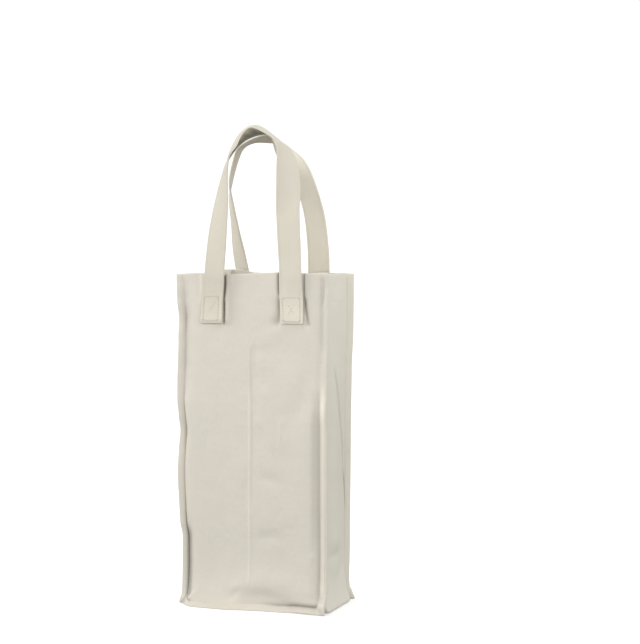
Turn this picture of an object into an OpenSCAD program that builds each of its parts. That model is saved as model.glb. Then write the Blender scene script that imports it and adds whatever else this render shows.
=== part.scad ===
// Canvas carrier for two bottles.
// X runs across the front, Y runs from the front to the back, Z runs up.
// The origin is on the floor, below the middle of the bag.

/* [Bag] */
// Height of the rim above the floor
bag_h = 356; // [346:1:372]
// Width between the side seams
bag_w = 155; // [152:1:166]
// Depth between the front and back seams
bag_d = 78; // [78:1:90]
// Thickness of the canvas
cloth_t = 1; // [0.8:0.1:1.2]
// Height of the bottom seams above the floor
seam_z = 9; // [8:0.5:11]
// Radius of the bend between the base and the side walls
bend_r = 12; // [10:1:16]
// Depth of the sloping edge of the base beside the bottom seams
base_slope = 10; // [8:1:14]
// Height of the hem turned in at the mouth
hem_h = 30; // [26:1:32]

/* [Pinched seams] */
// Width of the raised seam along each upright corner
fin_w = 8; // [6:0.5:9]
// Thickness of each of its two plies
fin_t = 1.4; // [1.2:0.1:1.6]
// Angle that the raised seam turns outwards from the wide side
fin_a = 25; // [20:1:32]
// Outward lean of the raised seam along the bottom
toe_a = 12; // [8:1:16]

/* [Divider] */
// Middle of the divider, measured across the bag
divider_x = 1; // [-2:0.5:3]
// Lower edge of the divider above the floor
divider_low = 30; // [24:1:40]
// Upper edge of the divider above the floor
divider_top = 280; // [250:1:290]
// Width of the flange that is sewn to each panel
flange_w = 9; // [7:1:12]
// Distance of the divider seam from the divider
flange_seam = 3; // [2:0.5:4]

/* [Handles] */
// Width of the strap
strap_w = 26; // [24:1:28]
// Thickness of the strap
strap_t = 2; // [1.6:0.1:2]
// Distance of the top of the sewn strap ends below the rim
end_drop = 24; // [23:0.5:26]
// Length of each sewn strap end
end_len = 27.5; // [24:0.5:32]
// Middle of the left strap ends
end_left = -44; // [-46:1:-42]
// Middle of the right strap ends
end_right = 46; // [44:1:47]
// Gap between a free strap and what it lies against
play = 0.35; // [0.3:0.05:0.4]

/* [Stitching] */
// Width of a row of stitches
thread_w = 0.6; // [0.4:0.1:0.8]
// Height of a row of stitches above the cloth
thread_t = 0.25; // [0.2:0.05:0.3]
// Distance of the edge stitching from the edge of the strap
edge_in = 2.5; // [2:0.25:4]

/* [Hidden] */

a = bag_w / 2;
b = bag_d / 2;
face = b + cloth_t;
fold_z = bag_h - end_drop;
steps = 3;
thread_gap = 0.05;
// Middle of a free strap above the panel where it leaves its sewn end
stand_off = strap_t / 2 + thread_gap + thread_t + play;

// Route of the free part of the front strap, from its left end to its right
// end: across the bag, outwards from the face of the panel, up from the fold
// line, turn of the strap's width about the vertical, tilt of its front edge
front_route = [
    [end_left, stand_off, 0, 0, 0],
    [-42, 3.2, 11, 6, 0],
    [-41, 4.4, 28, 11, 0],
    [-40, 1, 59, 15, 0],
    [-39, -7, 97, 30, 1],
    [-39, -16, 129, 50, 7],
    [-37, -22, 150, 61, 12],
    [-28, -28, 168, 75, 18],
    [-16, -33, 177, 89, 22],
    [-2, -34, 178, 104, 13],
    [12, -32, 171, 106, 11],
    [28, -26, 156, 117, 16],
    [36, -15, 125, 149, 6],
    [39, -7, 93, 174, 0],
    [44, 0, 58, 180, 0],
    [47, 3, 28, 184, 0],
    [47, 2.4, 12, 183, 0],
    [end_right, stand_off, 0, 180, 0]];

// The same for the back strap
back_route = [
    [end_left, stand_off, 0, 0, 0],
    [-47, 5.8, 11, 18, 0],
    [-50, 8.8, 25, 32, 0],
    [-54, 6.5, 51, 37, 0],
    [-56, 1, 78, 50, 1],
    [-58, -5, 107, 59, 2],
    [-56, -10, 128, 71, 2],
    [-49, -13, 151, 75, 0],
    [-41, -16, 164, 79, -5],
    [-27, -19, 170, 84, -4],
    [-10, -20, 171, 91, 7],
    [2, -20, 169, 104, 12],
    [13, -18, 157, 127, 8],
    [25, -15, 140, 158, 4],
    [36, -9, 115, 188, 2],
    [42, -3, 87, 188, 0],
    [44, 2, 53, 184, 0],
    [44, 3.5, 28, 181, 0],
    [45, 2.5, 12, 180, 0],
    [end_right, stand_off, 0, 180, 0]];

// Directions of the raised seam at the front right corner
fu = [cos(fin_a), -sin(fin_a)];
fn = [-sin(fin_a), -cos(fin_a)];
fm = [sin(fin_a), cos(fin_a)];
fc = [a, -b];
// Where the outer face of each ply leaves the outer face of its wall
ply_x = a + (cloth_t - fin_t * cos(fin_a)) / sin(fin_a) * cos(fin_a) - fin_t * sin(fin_a);
ply_y = -b - (cloth_t - fin_t * sin(fin_a)) / cos(fin_a) * sin(fin_a) + fin_t * cos(fin_a);

// Smooth curve through four points, from the second to the third
function bend(p, q, r, s, t) = 0.5 * (2 * q + (r - p) * t
    + (2 * p - 5 * q + 4 * r - s) * t * t + (3 * q - p - 3 * r + s) * t * t * t);
function ahead(P) = concat([2 * P[0] - P[1]], P, [2 * P[len(P) - 1] - P[len(P) - 2]]);
function curve(P) = let (Q = ahead(P), n = len(P)) concat(
    [for (i = [1 : n - 1]) for (k = [0 : steps - 1])
        bend(Q[i - 1], Q[i], Q[i + 1], Q[i + 2], k / steps)], [P[n - 1]]);
function unit(v) = v / norm(v);
// Station of a strap in the bag's own frame; side is -1 at the front, 1 at the back
function place(q, side) = [q[0], side * (face + q[1]), fold_z + q[2]];
function across(q) = [cos(q[3]) * cos(q[4]), -sin(q[3]) * cos(q[4]), sin(q[4])];
// Middle, width direction and face direction of every ring of a strap
function rings(P, side) = let (S = curve(P), n = len(S),
    C = [for (q = S) place(q, side)])
    [for (i = [0 : n - 1]) let (
        T = unit(C[min(i + 1, n - 1)] - C[max(i - 1, 0)]),
        w0 = across(S[i]), lean = min(1, S[i][2] / 30),
        w = unit(w0 - lean * (w0 * T) * T), end = i == 0 || i == n - 1)
        [C[i] + [0, 0, end ? play : 0], w, end ? [0, -1, 0] : unit(cross(w, T))]];

// Solid swept along the rings; each corner of its section is [along width, along face]
module sweep(R, section) {
    m = len(section);
    n = len(R);
    pts = [for (r = R) for (c = section) r[0] + c[0] * r[1] + c[1] * r[2]];
    sides = [for (i = [0 : n - 2]) for (j = [0 : m - 1]) let (k = (j + 1) % m)
        each [[i * m + j, (i + 1) * m + k, (i + 1) * m + j],
            [i * m + j, i * m + k, (i + 1) * m + k]]];
    e = (n - 1) * m;
    ends = [for (j = [0 : m / 2 - 2]) each [[j + 1, j, m - 1 - j, m - 2 - j],
        [e + j, e + j + 1, e + m - 2 - j, e + m - 1 - j]]];
    polyhedron(pts, concat(sides, ends), 4);
}

// Corners across one face of the strap, where the edge stitching lies
row_in = strap_w / 2 - edge_in;
breaks = [-strap_w / 2, -row_in, -row_in + thread_w, row_in - thread_w, row_in, strap_w / 2];
strap_section = concat([for (u = breaks) [u, -strap_t / 2]],
    [for (i = [5 : -1 : 0]) [breaks[i], strap_t / 2]]);
function row_section(u, f) = let (lo = strap_t / 2 + thread_gap, hi = lo + thread_t)
    f > 0 ? [[u, lo], [u + thread_w, lo], [u + thread_w, hi], [u, hi]]
          : [[u, -hi], [u + thread_w, -hi], [u + thread_w, -lo], [u, -lo]];

// Both upright corners of one panel
module both_sides() {
    children();
    mirror([1, 0, 0]) children();
}
module front_and_back() {
    children();
    mirror([0, 1, 0]) children();
}

// Panel of one wide side with its plies of the raised seams and its turned hem
module panel() {
    translate([-ply_x, -face, seam_z]) cube([2 * ply_x, cloth_t, bag_h - seam_z]);
    both_sides() linear_extrude(height = bag_h) polygon([[ply_x, -face],
        fc + fin_w * fu + fin_t * fn, fc + fin_w * fu, fc, [ply_x, -b]]);
    drop = seam_z / cos(toe_a);
    top = seam_z + (fin_t * cos(toe_a) - cloth_t) / tan(toe_a) + fin_t * sin(toe_a);
    low = (seam_z + fin_t * sin(toe_a)) * tan(toe_a) + fin_t * cos(toe_a);
    translate([-ply_x, 0, 0]) rotate([90, 0, 90]) linear_extrude(height = 2 * ply_x)
        polygon([[-face, top], [-b - low, 0], [-b - drop * sin(toe_a), 0],
            [-b, seam_z], [-b, top]]);
    translate([-a, -b, bag_h - hem_h]) cube([2 * a, cloth_t, hem_h]);
}

module front_panel() {
    color("#e6e0d0") panel();
}

module back_panel() {
    color("#ded8c7") mirror([0, 1, 0]) panel();
}

// Outline of the strip that runs down one side, under the base and up the other
module u_outline(half, low, r) {
    hull() {
        translate([-half, bag_h - 1]) square([2 * half, 1]);
        for (s = [-1, 1]) translate([s * (half - r), low + r]) circle(r = r, $fn = 96);
    }
}

module strip_space(half, low, r, grow) {
    rise = grow * sqrt(1 + pow(seam_z / base_slope, 2));
    intersection() {
        translate([0, b + grow, 0]) rotate([90, 0, 0])
            linear_extrude(height = 2 * (b + grow)) u_outline(half, low, r);
        translate([-a - 5, 0, 0]) rotate([90, 0, 90]) linear_extrude(height = 2 * a + 10)
            polygon([[-b - grow, bag_h + 1], [-b - grow, seam_z + rise + grow * seam_z / base_slope],
                [-b + base_slope * (1 - (low - rise) / seam_z), low],
                [b - base_slope * (1 - (low - rise) / seam_z), low],
                [b + grow, seam_z + rise + grow * seam_z / base_slope], [b + grow, bag_h + 1]]);
    }
}

module gusset_strip() {
    color("#d9d6c8") {
        difference() {
            strip_space(a + cloth_t, 0, bend_r + cloth_t, 0);
            strip_space(a, cloth_t, bend_r, cloth_t);
            translate([-a, -b, bag_h - 20]) cube([2 * a, 2 * b, 30]);
        }
        both_sides() front_and_back() linear_extrude(height = bag_h)
            polygon([fc, fc + fin_w * fu, fc + fin_w * fu + fin_t * fm,
                [a + cloth_t, ply_y], [a, ply_y]]);
        drop = seam_z / cos(toe_a);
        low = (seam_z - fin_t * sin(toe_a)) * tan(toe_a) - fin_t * cos(toe_a);
        front_and_back() translate([-ply_x, 0, 0]) rotate([90, 0, 90])
            linear_extrude(height = 2 * ply_x)
            polygon([[-b, seam_z], [-b - drop * sin(toe_a), 0], [-b - low, 0],
                [-b - 0.3 * sin(toe_a) + fin_t * cos(toe_a),
                    seam_z - 0.3 * cos(toe_a) - fin_t * sin(toe_a)]]);
        both_sides() translate([a - cloth_t, -b + cloth_t, bag_h - hem_h])
            cube([cloth_t, 2 * (b - cloth_t), hem_h]);
    }
}

// Wall between the two bottles, with a flange on each panel and a hem on top
module divider_panel() {
    color("#d2cdbc") {
        x = divider_x + cloth_t / 2;
        translate([0, 0, divider_low]) linear_extrude(height = divider_top - divider_low)
            polygon([[x, -b], [x - flange_w, -b], [x - flange_w, -b + cloth_t],
                [x - cloth_t, -b + cloth_t], [x - cloth_t, b - cloth_t],
                [x - flange_w, b - cloth_t], [x - flange_w, b], [x, b]]);
        translate([x, -b + cloth_t, divider_top - 12])
            cube([cloth_t, 2 * (b - cloth_t), 12]);
    }
}

// End of a strap sewn flat on the outside of a panel
module strap_end(x) {
    translate([x - strap_w / 2, -face - strap_t, fold_z - end_len])
        cube([strap_w, strap_t, end_len]);
}

module front_handle_left_end() {
    color("#e3ddcd") strap_end(end_left);
}

module front_handle_right_end() {
    color("#e3ddcd") strap_end(end_right);
}

module back_handle_left_end() {
    color("#dcd6c5") mirror([0, 1, 0]) strap_end(end_left);
}

module back_handle_right_end() {
    color("#dcd6c5") mirror([0, 1, 0]) strap_end(end_right);
}

module front_handle() {
    color("#e8e1d2") sweep(rings(front_route, -1), strap_section);
}

module back_handle() {
    color("#d8d2c2") sweep(rings(back_route, 1), strap_section);
}

module edge_rows(R) {
    for (u = [-row_in, row_in - thread_w], f = [-1, 1]) sweep(R, row_section(u, f));
}

module front_handle_edge_stitching() {
    color("#f2ecdc") edge_rows(rings(front_route, -1));
}

module back_handle_edge_stitching() {
    color("#f2ecdc") edge_rows(rings(back_route, 1));
}

// Rows of stitches that close the raised seams around one panel
module seam_rows() {
    s = 1.8;
    both_sides() translate([0, 0, 1]) linear_extrude(height = bag_h - 2) {
        p = fc + s * fu + fin_t * fn;
        polygon([p, p + thread_w * fu, p + thread_w * fu + thread_t * fn, p + thread_t * fn]);
        q = fc + s * fu + fin_t * fm;
        polygon([q, q + thread_w * fu, q + thread_w * fu + thread_t * fm, q + thread_t * fm]);
    }
    d = [-sin(toe_a), -cos(toe_a)];
    n = [-cos(toe_a), sin(toe_a)];
    translate([-ply_x, 0, 0]) rotate([90, 0, 90]) linear_extrude(height = 2 * ply_x) {
        p = [-b, seam_z] + s * d + fin_t * n;
        polygon([p, p + thread_w * d, p + thread_w * d + thread_t * n, p + thread_t * n]);
    }
}

module front_seam_stitching() {
    color("#f2ecdc") seam_rows();
}

module back_seam_stitching() {
    color("#f2ecdc") mirror([0, 1, 0]) seam_rows();
}

// Row of stitches along the divider, outside the panel and inside on the flange
module divider_row() {
    x = divider_x - flange_seam - thread_w / 2;
    low = divider_low + 1;
    translate([x, -face - thread_t, low]) cube([thread_w, thread_t, divider_top - low - 1]);
    translate([x, -b + cloth_t, low]) cube([thread_w, thread_t, divider_top - low - 1]);
}

module divider_front_stitching() {
    color("#f2ecdc") divider_row();
}

module divider_back_stitching() {
    color("#f2ecdc") mirror([0, 1, 0]) divider_row();
}

module divider_hem_stitching() {
    color("#f2ecdc") {
        x = divider_x + cloth_t / 2;
        for (p = [x - cloth_t - thread_t, x + cloth_t])
            translate([p, -b + 3, divider_top - 10]) cube([thread_t, 2 * b - 6, thread_w]);
    }
}

// Row of stitches along the hem of the mouth, between the strap ends
module mouth_hem_stitching() {
    z = bag_h - hem_h + 2;
    e = strap_w / 2 + 0.6;
    color("#f2ecdc") {
        front_and_back() for (r = [[-a + 1.5, end_left - e], [end_left + e, end_right - e],
            [end_right + e, a - 1.5]])
            translate([r[0], -face - thread_t, z]) cube([r[1] - r[0], thread_t, thread_w]);
        both_sides() translate([a + cloth_t, -b + 3, z])
            cube([thread_t, 2 * b - 6, thread_w]);
    }
}

// Box of stitches with a cross that holds one strap end
module box_rows(x) {
    w = strap_w - 2 * edge_in - 1;
    h = end_len - 5;
    z = fold_z - end_len + 3;
    translate([x, -face - strap_t, 0]) rotate([90, 0, 0]) linear_extrude(height = thread_t) {
        difference() {
            translate([-w / 2, z]) square([w, h]);
            translate([-w / 2 + thread_w, z + thread_w])
                square([w - 2 * thread_w, h - 2 * thread_w]);
        }
        for (s = [-1, 1]) translate([0, z + h / 2]) rotate(s * atan2(h, w))
            translate([-norm([w, h]) / 2 + 1, -thread_w / 2]) square([norm([w, h]) - 2, thread_w]);
    }
}

module front_strap_box_stitching() {
    color("#f2ecdc") {
        box_rows(end_left);
        box_rows(end_right);
    }
}

module back_strap_box_stitching() {
    color("#f2ecdc") mirror([0, 1, 0]) {
        box_rows(end_left);
        box_rows(end_right);
    }
}

front_panel();
back_panel();
gusset_strip();
divider_panel();
front_handle_left_end();
front_handle_right_end();
back_handle_left_end();
back_handle_right_end();
front_handle();
back_handle();
front_seam_stitching();
back_seam_stitching();
divider_front_stitching();
divider_back_stitching();
divider_hem_stitching();
mouth_hem_stitching();
front_strap_box_stitching();
back_strap_box_stitching();
front_handle_edge_stitching();
back_handle_edge_stitching();
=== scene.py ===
"""Canvas carrier for two bottles: cloth, straps, stitches, floor, light and camera."""
import math

import bpy
import numpy as np
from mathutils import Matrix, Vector


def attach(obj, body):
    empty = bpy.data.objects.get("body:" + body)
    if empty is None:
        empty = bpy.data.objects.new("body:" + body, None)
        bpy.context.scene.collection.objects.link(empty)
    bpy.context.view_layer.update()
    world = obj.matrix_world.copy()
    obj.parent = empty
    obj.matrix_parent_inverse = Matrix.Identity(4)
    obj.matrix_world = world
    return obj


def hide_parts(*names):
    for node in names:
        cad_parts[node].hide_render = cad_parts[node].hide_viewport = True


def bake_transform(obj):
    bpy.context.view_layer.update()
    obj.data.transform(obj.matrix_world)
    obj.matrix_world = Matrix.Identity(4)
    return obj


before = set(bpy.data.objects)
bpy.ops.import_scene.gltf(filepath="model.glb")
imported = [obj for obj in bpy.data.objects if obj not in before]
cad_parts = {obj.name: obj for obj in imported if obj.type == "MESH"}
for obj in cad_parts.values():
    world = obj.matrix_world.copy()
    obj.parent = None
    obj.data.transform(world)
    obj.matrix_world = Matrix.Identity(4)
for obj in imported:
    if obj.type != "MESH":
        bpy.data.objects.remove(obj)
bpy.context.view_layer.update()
scene = bpy.context.scene
MM = 0.001

# ---------------------------------------------------------------- camera
cam_data = bpy.data.cameras.new("camera")
cam_data.sensor_width = 36.0
cam_data.lens = 80.61
cam_data.clip_start, cam_data.clip_end = 0.05, 30
cam = bpy.data.objects.new("camera", cam_data)
scene.collection.objects.link(cam)
cam.location = (0.6214, -1.4381, 0.3484)
cam.rotation_euler = Vector((-0.3622, 0.9317, -0.0278)).to_track_quat("-Z", "Y").to_euler()
scene.camera = cam
scene.view_settings.view_transform = "Standard"

# ---------------------------------------------------------------- sizes in mm, as in the part
A, B_HALF = 77.5, 39.0          # half width, half depth at the seams
RIM, SEAM_Z, BEND = 356.0, 9.0, 5.0
FIN = 8.0                       # width of the raised seams
FACE = 40.0
FOLD = 332.0
DIV_LO, DIV_HI, DIV_X, DIV_SEAM = 30.0, 280.0, 1.0, -2.0
HEM = 30.0


# ---------------------------------------------------------------- small maths
def smooth(t):
    t = np.clip(t, 0, 1)
    return t * t * (3 - 2 * t)


def ease(x, knots):
    """Value along smooth steps between (place, value) knots."""
    ks = np.array(sorted(knots), float)
    x = np.asarray(x, float)
    i = np.clip(np.searchsorted(ks[:, 0], x) - 1, 0, len(ks) - 2)
    t = (x - ks[i, 0]) / (ks[i + 1, 0] - ks[i, 0])
    return ks[i, 1] + (ks[i + 1, 1] - ks[i, 1]) * smooth(t)


_grad = {}


def noise(x, y, sx, sy, seed):
    """Gradient noise, about -1 to 1, with cells of sx by sy."""
    if seed not in _grad:
        ang = np.random.RandomState(seed).uniform(0, 2 * np.pi, (128, 128))
        _grad[seed] = (np.cos(ang), np.sin(ang))
    gx, gy = _grad[seed]
    u, v = np.asarray(x, float) / sx + 51.37, np.asarray(y, float) / sy + 47.71
    i, j = np.floor(u).astype(int), np.floor(v).astype(int)
    fu, fv = u - i, v - j
    cu, cv = (fu ** 3 * (fu * (fu * 6 - 15) + 10)), (fv ** 3 * (fv * (fv * 6 - 15) + 10))

    def corner(a, b):
        p, q = (i + a) % 128, (j + b) % 128
        return gx[p, q] * (fu - a) + gy[p, q] * (fv - b)

    n0 = corner(0, 0) * (1 - cu) + corner(1, 0) * cu
    n1 = corner(0, 1) * (1 - cu) + corner(1, 1) * cu
    return 1.5 * (n0 * (1 - cv) + n1 * cv)


def line_distance(X, Z, pts):
    """Distance to a line of points, share of the way along it, and side (left of travel is positive)."""
    P = np.array(pts, float)
    seg = np.linalg.norm(np.diff(P, axis=0), axis=1)
    start = np.concatenate([[0], np.cumsum(seg)])
    best = np.full(np.shape(X), 1e9)
    along = np.zeros(np.shape(X))
    side = np.ones(np.shape(X))
    for k in range(len(P) - 1):
        d = P[k + 1] - P[k]
        t = np.clip(((X - P[k, 0]) * d[0] + (Z - P[k, 1]) * d[1]) / (d @ d), 0, 1)
        ex, ez = X - P[k, 0] - t * d[0], Z - P[k, 1] - t * d[1]
        q = np.hypot(ex, ez)
        near = q < best
        best = np.where(near, q, best)
        along = np.where(near, (start[k] + t * seg[k]) / start[-1], along)
        side = np.where(near, np.sign(d[0] * ez - d[1] * ex), side)
    return best, along, side


def crease(X, Z, pts, amp, wide, fade=0.25):
    """Long raised ridge (amp over 0) or groove (amp under 0) along a line."""
    q, t, _ = line_distance(X, Z, pts)
    ends = smooth(t / fade) * smooth((1 - t) / fade) if fade > 0 else 1.0
    return amp * np.exp(-(q / wide) ** 2) * ends


def slot(X, Z, pts, amp, wide_l, wide_r, fade=0.25):
    """Groove or ridge with its own width on each side of a line; left means left of travel."""
    q, t, s = line_distance(X, Z, pts)
    ends = smooth(t / fade) * smooth((1 - t) / fade) if fade > 0 else 1.0
    return amp * np.exp(-(q / np.where(s > 0, wide_l, wide_r)) ** 2) * ends


def cliff(X, Z, pts, amp, sharp, back, fade=0.25):
    """Fold: a steep step along a line that dies away on its left side."""
    q, t, s = line_distance(X, Z, pts)
    d = q * s
    ends = smooth(t / fade) * smooth((1 - t) / fade) if fade > 0 else 1.0
    return amp * 0.5 * (1 + np.tanh(d / sharp)) * np.exp(-np.maximum(d, 0) / back) * ends


def spot(X, Z, cx, cz, sx, sz, amp, turn=0.0):
    c, s = math.cos(math.radians(turn)), math.sin(math.radians(turn))
    u, v = (X - cx) * c + (Z - cz) * s, -(X - cx) * s + (Z - cz) * c
    return amp * np.exp(-(u / sx) ** 2 - (v / sz) ** 2)


def spaced(lo, hi, step, fine):
    """Stations from lo to hi, step apart, and closer near each (place, reach, step) in fine."""
    x = np.linspace(lo, hi, 4000)
    h = np.full(x.shape, float(step))
    for c, reach, s in fine:
        w = smooth((np.abs(x - c) - reach) / (reach * 1.2 + 2))
        h = np.minimum(h, s + (step - s) * w)
    cum = np.concatenate([[0], np.cumsum(0.5 * (1 / h[1:] + 1 / h[:-1]) * np.diff(x))])
    n = int(math.ceil(cum[-1]))
    return np.interp(np.linspace(0, cum[-1], n + 1), cum, x)


def rounded(P, axis, sigma, arc):
    """Smooths a grid of points along one axis with a bell of width sigma in mm of arc; ends stay."""
    P = np.moveaxis(P, axis, 0)
    s = np.asarray(arc, float)
    w = np.exp(-0.5 * ((s[:, None] - s[None, :]) / sigma) ** 2)
    cell = np.gradient(s)
    w = w * cell[None, :]
    keep = np.minimum(s - s[0], s[-1] - s)
    w = w / w.sum(1, keepdims=True)
    Q = np.tensordot(w, P, (1, 0))
    k = smooth(keep / (3 * sigma)).reshape((-1,) + (1,) * (P.ndim - 1))
    return np.moveaxis(P * (1 - k) + Q * k, 0, axis)


# ---------------------------------------------------------------- materials
def nodes_of(name):
    m = bpy.data.materials.new(name)
    m.use_nodes = True
    t = m.node_tree
    t.nodes.clear()
    out = t.nodes.new("ShaderNodeOutputMaterial")
    bsdf = t.nodes.new("ShaderNodeBsdfPrincipled")
    t.links.new(bsdf.outputs[0], out.inputs[0])
    return m, t, bsdf


class Maths:
    """Short names for the sums of a node tree."""

    def __init__(self, tree):
        self.t = tree

    def put(self, socket, value):
        if isinstance(value, (int, float)):
            socket.default_value = value
        else:
            self.t.links.new(value, socket)

    def op(self, kind, a, b=None, c=None):
        n = self.t.nodes.new("ShaderNodeMath")
        n.operation = kind
        for k, v in enumerate((a, b, c)):
            if v is not None:
                self.put(n.inputs[k], v)
        return n.outputs[0]

    def noise(self, vector, scale, detail=2.0, rough=0.5):
        n = self.t.nodes.new("ShaderNodeTexNoise")
        n.inputs["Scale"].default_value = scale
        n.inputs["Detail"].default_value = detail
        n.inputs["Roughness"].default_value = rough
        self.t.links.new(vector, n.inputs["Vector"])
        return n.outputs["Fac"]

    def stretch(self, vector, sx, sy, sz=1.0, shift=0.0):
        n = self.t.nodes.new("ShaderNodeMapping")
        n.inputs["Scale"].default_value = (sx, sy, sz)
        n.inputs["Location"].default_value = (shift, shift * 0.7, shift * 0.3)
        self.t.links.new(vector, n.inputs["Vector"])
        return n.outputs["Vector"]

    def span(self, value, a, b, c, d):
        n = self.t.nodes.new("ShaderNodeMapRange")
        n.inputs["From Min"].default_value = a
        n.inputs["From Max"].default_value = b
        n.inputs["To Min"].default_value = c
        n.inputs["To Max"].default_value = d
        self.t.links.new(value, n.inputs["Value"])
        return n.outputs["Result"]

    def mix(self, fac, a, b):
        n = self.t.nodes.new("ShaderNodeMix")
        n.data_type = "RGBA"
        self.put(n.inputs["Factor"], fac)
        for k, v in (("A", a), ("B", b)):
            s = [i for i in n.inputs if i.name == k and i.type == "RGBA"][0]
            if isinstance(v, tuple):
                s.default_value = (*v, 1.0)
            else:
                self.t.links.new(v, s)
        return [o for o in n.outputs if o.type == "RGBA"][0]


def canvas(name, base, warm, dim, pitch=0.62, slub=1.0, weave=0.00011, seed=0.0, sheen=0.05, painted_light_gain=None):
    """Plain-woven cotton: the cloth's own u and v are in mm along the two sets of threads."""
    m, t, bsdf = nodes_of(name)
    q = Maths(t)
    uv = t.nodes.new("ShaderNodeUVMap")
    uv.uv_map = "cloth"
    uvm = uv.outputs[0]
    sep = t.nodes.new("ShaderNodeSeparateXYZ")
    t.links.new(uvm, sep.inputs[0])
    wander = q.noise(q.stretch(uvm, 0.09, 0.09, 1, seed), 1.0, 2.0)
    u = q.op("MULTIPLY_ADD", wander, 1.6, sep.outputs[0])
    v = q.op("MULTIPLY_ADD", wander, -1.6, sep.outputs[1])
    su = q.op("SINE", q.op("MULTIPLY", u, math.pi / pitch))
    sv = q.op("SINE", q.op("MULTIPLY", v, math.pi / pitch))
    over = q.op("MULTIPLY_ADD", q.op("MULTIPLY", su, sv), 2.2, 0.5)
    over = q.op("MINIMUM", q.op("MAXIMUM", over, 0.0), 1.0)
    hu, hv = q.op("ABSOLUTE", su), q.op("ABSOLUTE", sv)
    height = q.op("ADD", q.op("MULTIPLY", hu, over), q.op("MULTIPLY", hv, q.op("SUBTRACT", 1.0, over)))
    warp = q.noise(q.stretch(uvm, 0.55, 0.012, 1, seed + 3), 1.0, 3.0, 0.6)
    weft = q.noise(q.stretch(uvm, 0.016, 0.7, 1, seed + 7), 1.0, 3.0, 0.6)
    grain = q.noise(q.stretch(uvm, 1.1, 1.1, 1, seed + 9), 1.0, 3.0, 0.65)
    broad = q.noise(q.stretch(uvm, 0.014, 0.011, 1, seed + 13), 1.0, 3.0, 0.5)
    blotch = q.noise(q.stretch(uvm, 0.05, 0.06, 1, seed + 17), 1.0, 2.0, 0.5)
    yarn = q.op("ADD", q.op("MULTIPLY", warp, 0.5), q.op("MULTIPLY", weft, 0.5))
    # tone: base to warm over broad patches, then thread shade, then grain
    tone = q.mix(q.span(broad, 0.35, 0.65, 0.0, 1.0), base, warm)
    tone = q.mix(q.span(blotch, 0.38, 0.66, 0.0, 0.35), tone, dim)
    shade = q.op("MULTIPLY", q.span(yarn, 0.3, 0.7, 1.0 - 0.016 * slub, 1.0 + 0.012 * slub),
                 q.span(height, 0.0, 1.0, 0.90, 1.02))
    shade = q.op("MULTIPLY", shade, q.span(grain, 0.25, 0.75, 0.985, 1.012))
    if painted_light_gain:
        # painted light: lighter towards one part of the cut piece: which of u and v, its middle, reach from and to,
        # gain
        which, middle, near, far, g0, g1 = painted_light_gain
        reach = q.op("ABSOLUTE", q.op("SUBTRACT", sep.outputs[which], middle))
        shade = q.op("MULTIPLY", shade, q.span(reach, near, far, g0, g1))
    # sparse seed flecks of unbleached cotton
    fleck = t.nodes.new("ShaderNodeTexVoronoi")
    fleck.inputs["Scale"].default_value = 1.0
    t.links.new(q.stretch(uvm, 0.075, 0.062, 1, seed + 23), fleck.inputs["Vector"])
    dot = q.span(fleck.outputs["Distance"], 0.022, 0.045, 1.0, 0.0)
    pick = q.span(fleck.outputs["Color"], 0.45, 0.55, 0.0, 0.45)
    tone = q.mix(q.op("MULTIPLY", dot, pick), tone, tuple(c * k for c, k in zip(dim, (0.62, 0.55, 0.45))))
    # painted shade: the cloth is darkened deep in its folds and beside its seams, where nearby surfaces close it in
    fold = t.nodes.new("ShaderNodeAmbientOcclusion")
    fold.samples = 10
    fold.inputs["Distance"].default_value = 0.012
    shade = q.op("MULTIPLY", shade, q.span(fold.outputs["AO"], 0.20, 0.72, 0.42, 1.0))
    # painted light and shade of the piece, held by its mesh in the tone attribute
    painted_light_attr = t.nodes.new("ShaderNodeAttribute")
    painted_light_attr.attribute_name = "tone"
    shade = q.op("MULTIPLY", shade, q.op("ADD", painted_light_attr.outputs["Fac"], 1.0))
    lit = t.nodes.new("ShaderNodeVectorMath")
    lit.operation = "SCALE"
    t.links.new(tone, lit.inputs[0])
    q.put(lit.inputs["Scale"], shade)
    t.links.new(lit.outputs[0], bsdf.inputs["Base Color"])
    t.links.new(q.span(yarn, 0.3, 0.7, 0.96, 0.86), bsdf.inputs["Roughness"])
    bsdf.inputs["Specular IOR Level"].default_value = 0.16
    bsdf.inputs["Sheen Weight"].default_value = sheen
    bsdf.inputs["Sheen Roughness"].default_value = 0.6
    bsdf.inputs["Sheen Tint"].default_value = (1.0, 0.97, 0.9, 1.0)
    fine = t.nodes.new("ShaderNodeBump")
    fine.inputs["Strength"].default_value = 0.75
    fine.inputs["Distance"].default_value = weave
    q.put(fine.inputs["Height"], height)
    slubs = t.nodes.new("ShaderNodeBump")
    slubs.inputs["Strength"].default_value = 0.6
    slubs.inputs["Distance"].default_value = 0.00012 * slub
    q.put(slubs.inputs["Height"], yarn)
    t.links.new(fine.outputs[0], slubs.inputs["Normal"])
    soft = t.nodes.new("ShaderNodeBump")
    soft.inputs["Strength"].default_value = 0.5
    soft.inputs["Distance"].default_value = 0.0012
    q.put(soft.inputs["Height"], q.noise(q.stretch(uvm, 0.11, 0.09, 1, seed + 31), 1.0, 3.0, 0.55))
    t.links.new(slubs.outputs[0], soft.inputs["Normal"])
    t.links.new(soft.outputs[0], bsdf.inputs["Normal"])
    return m


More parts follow.
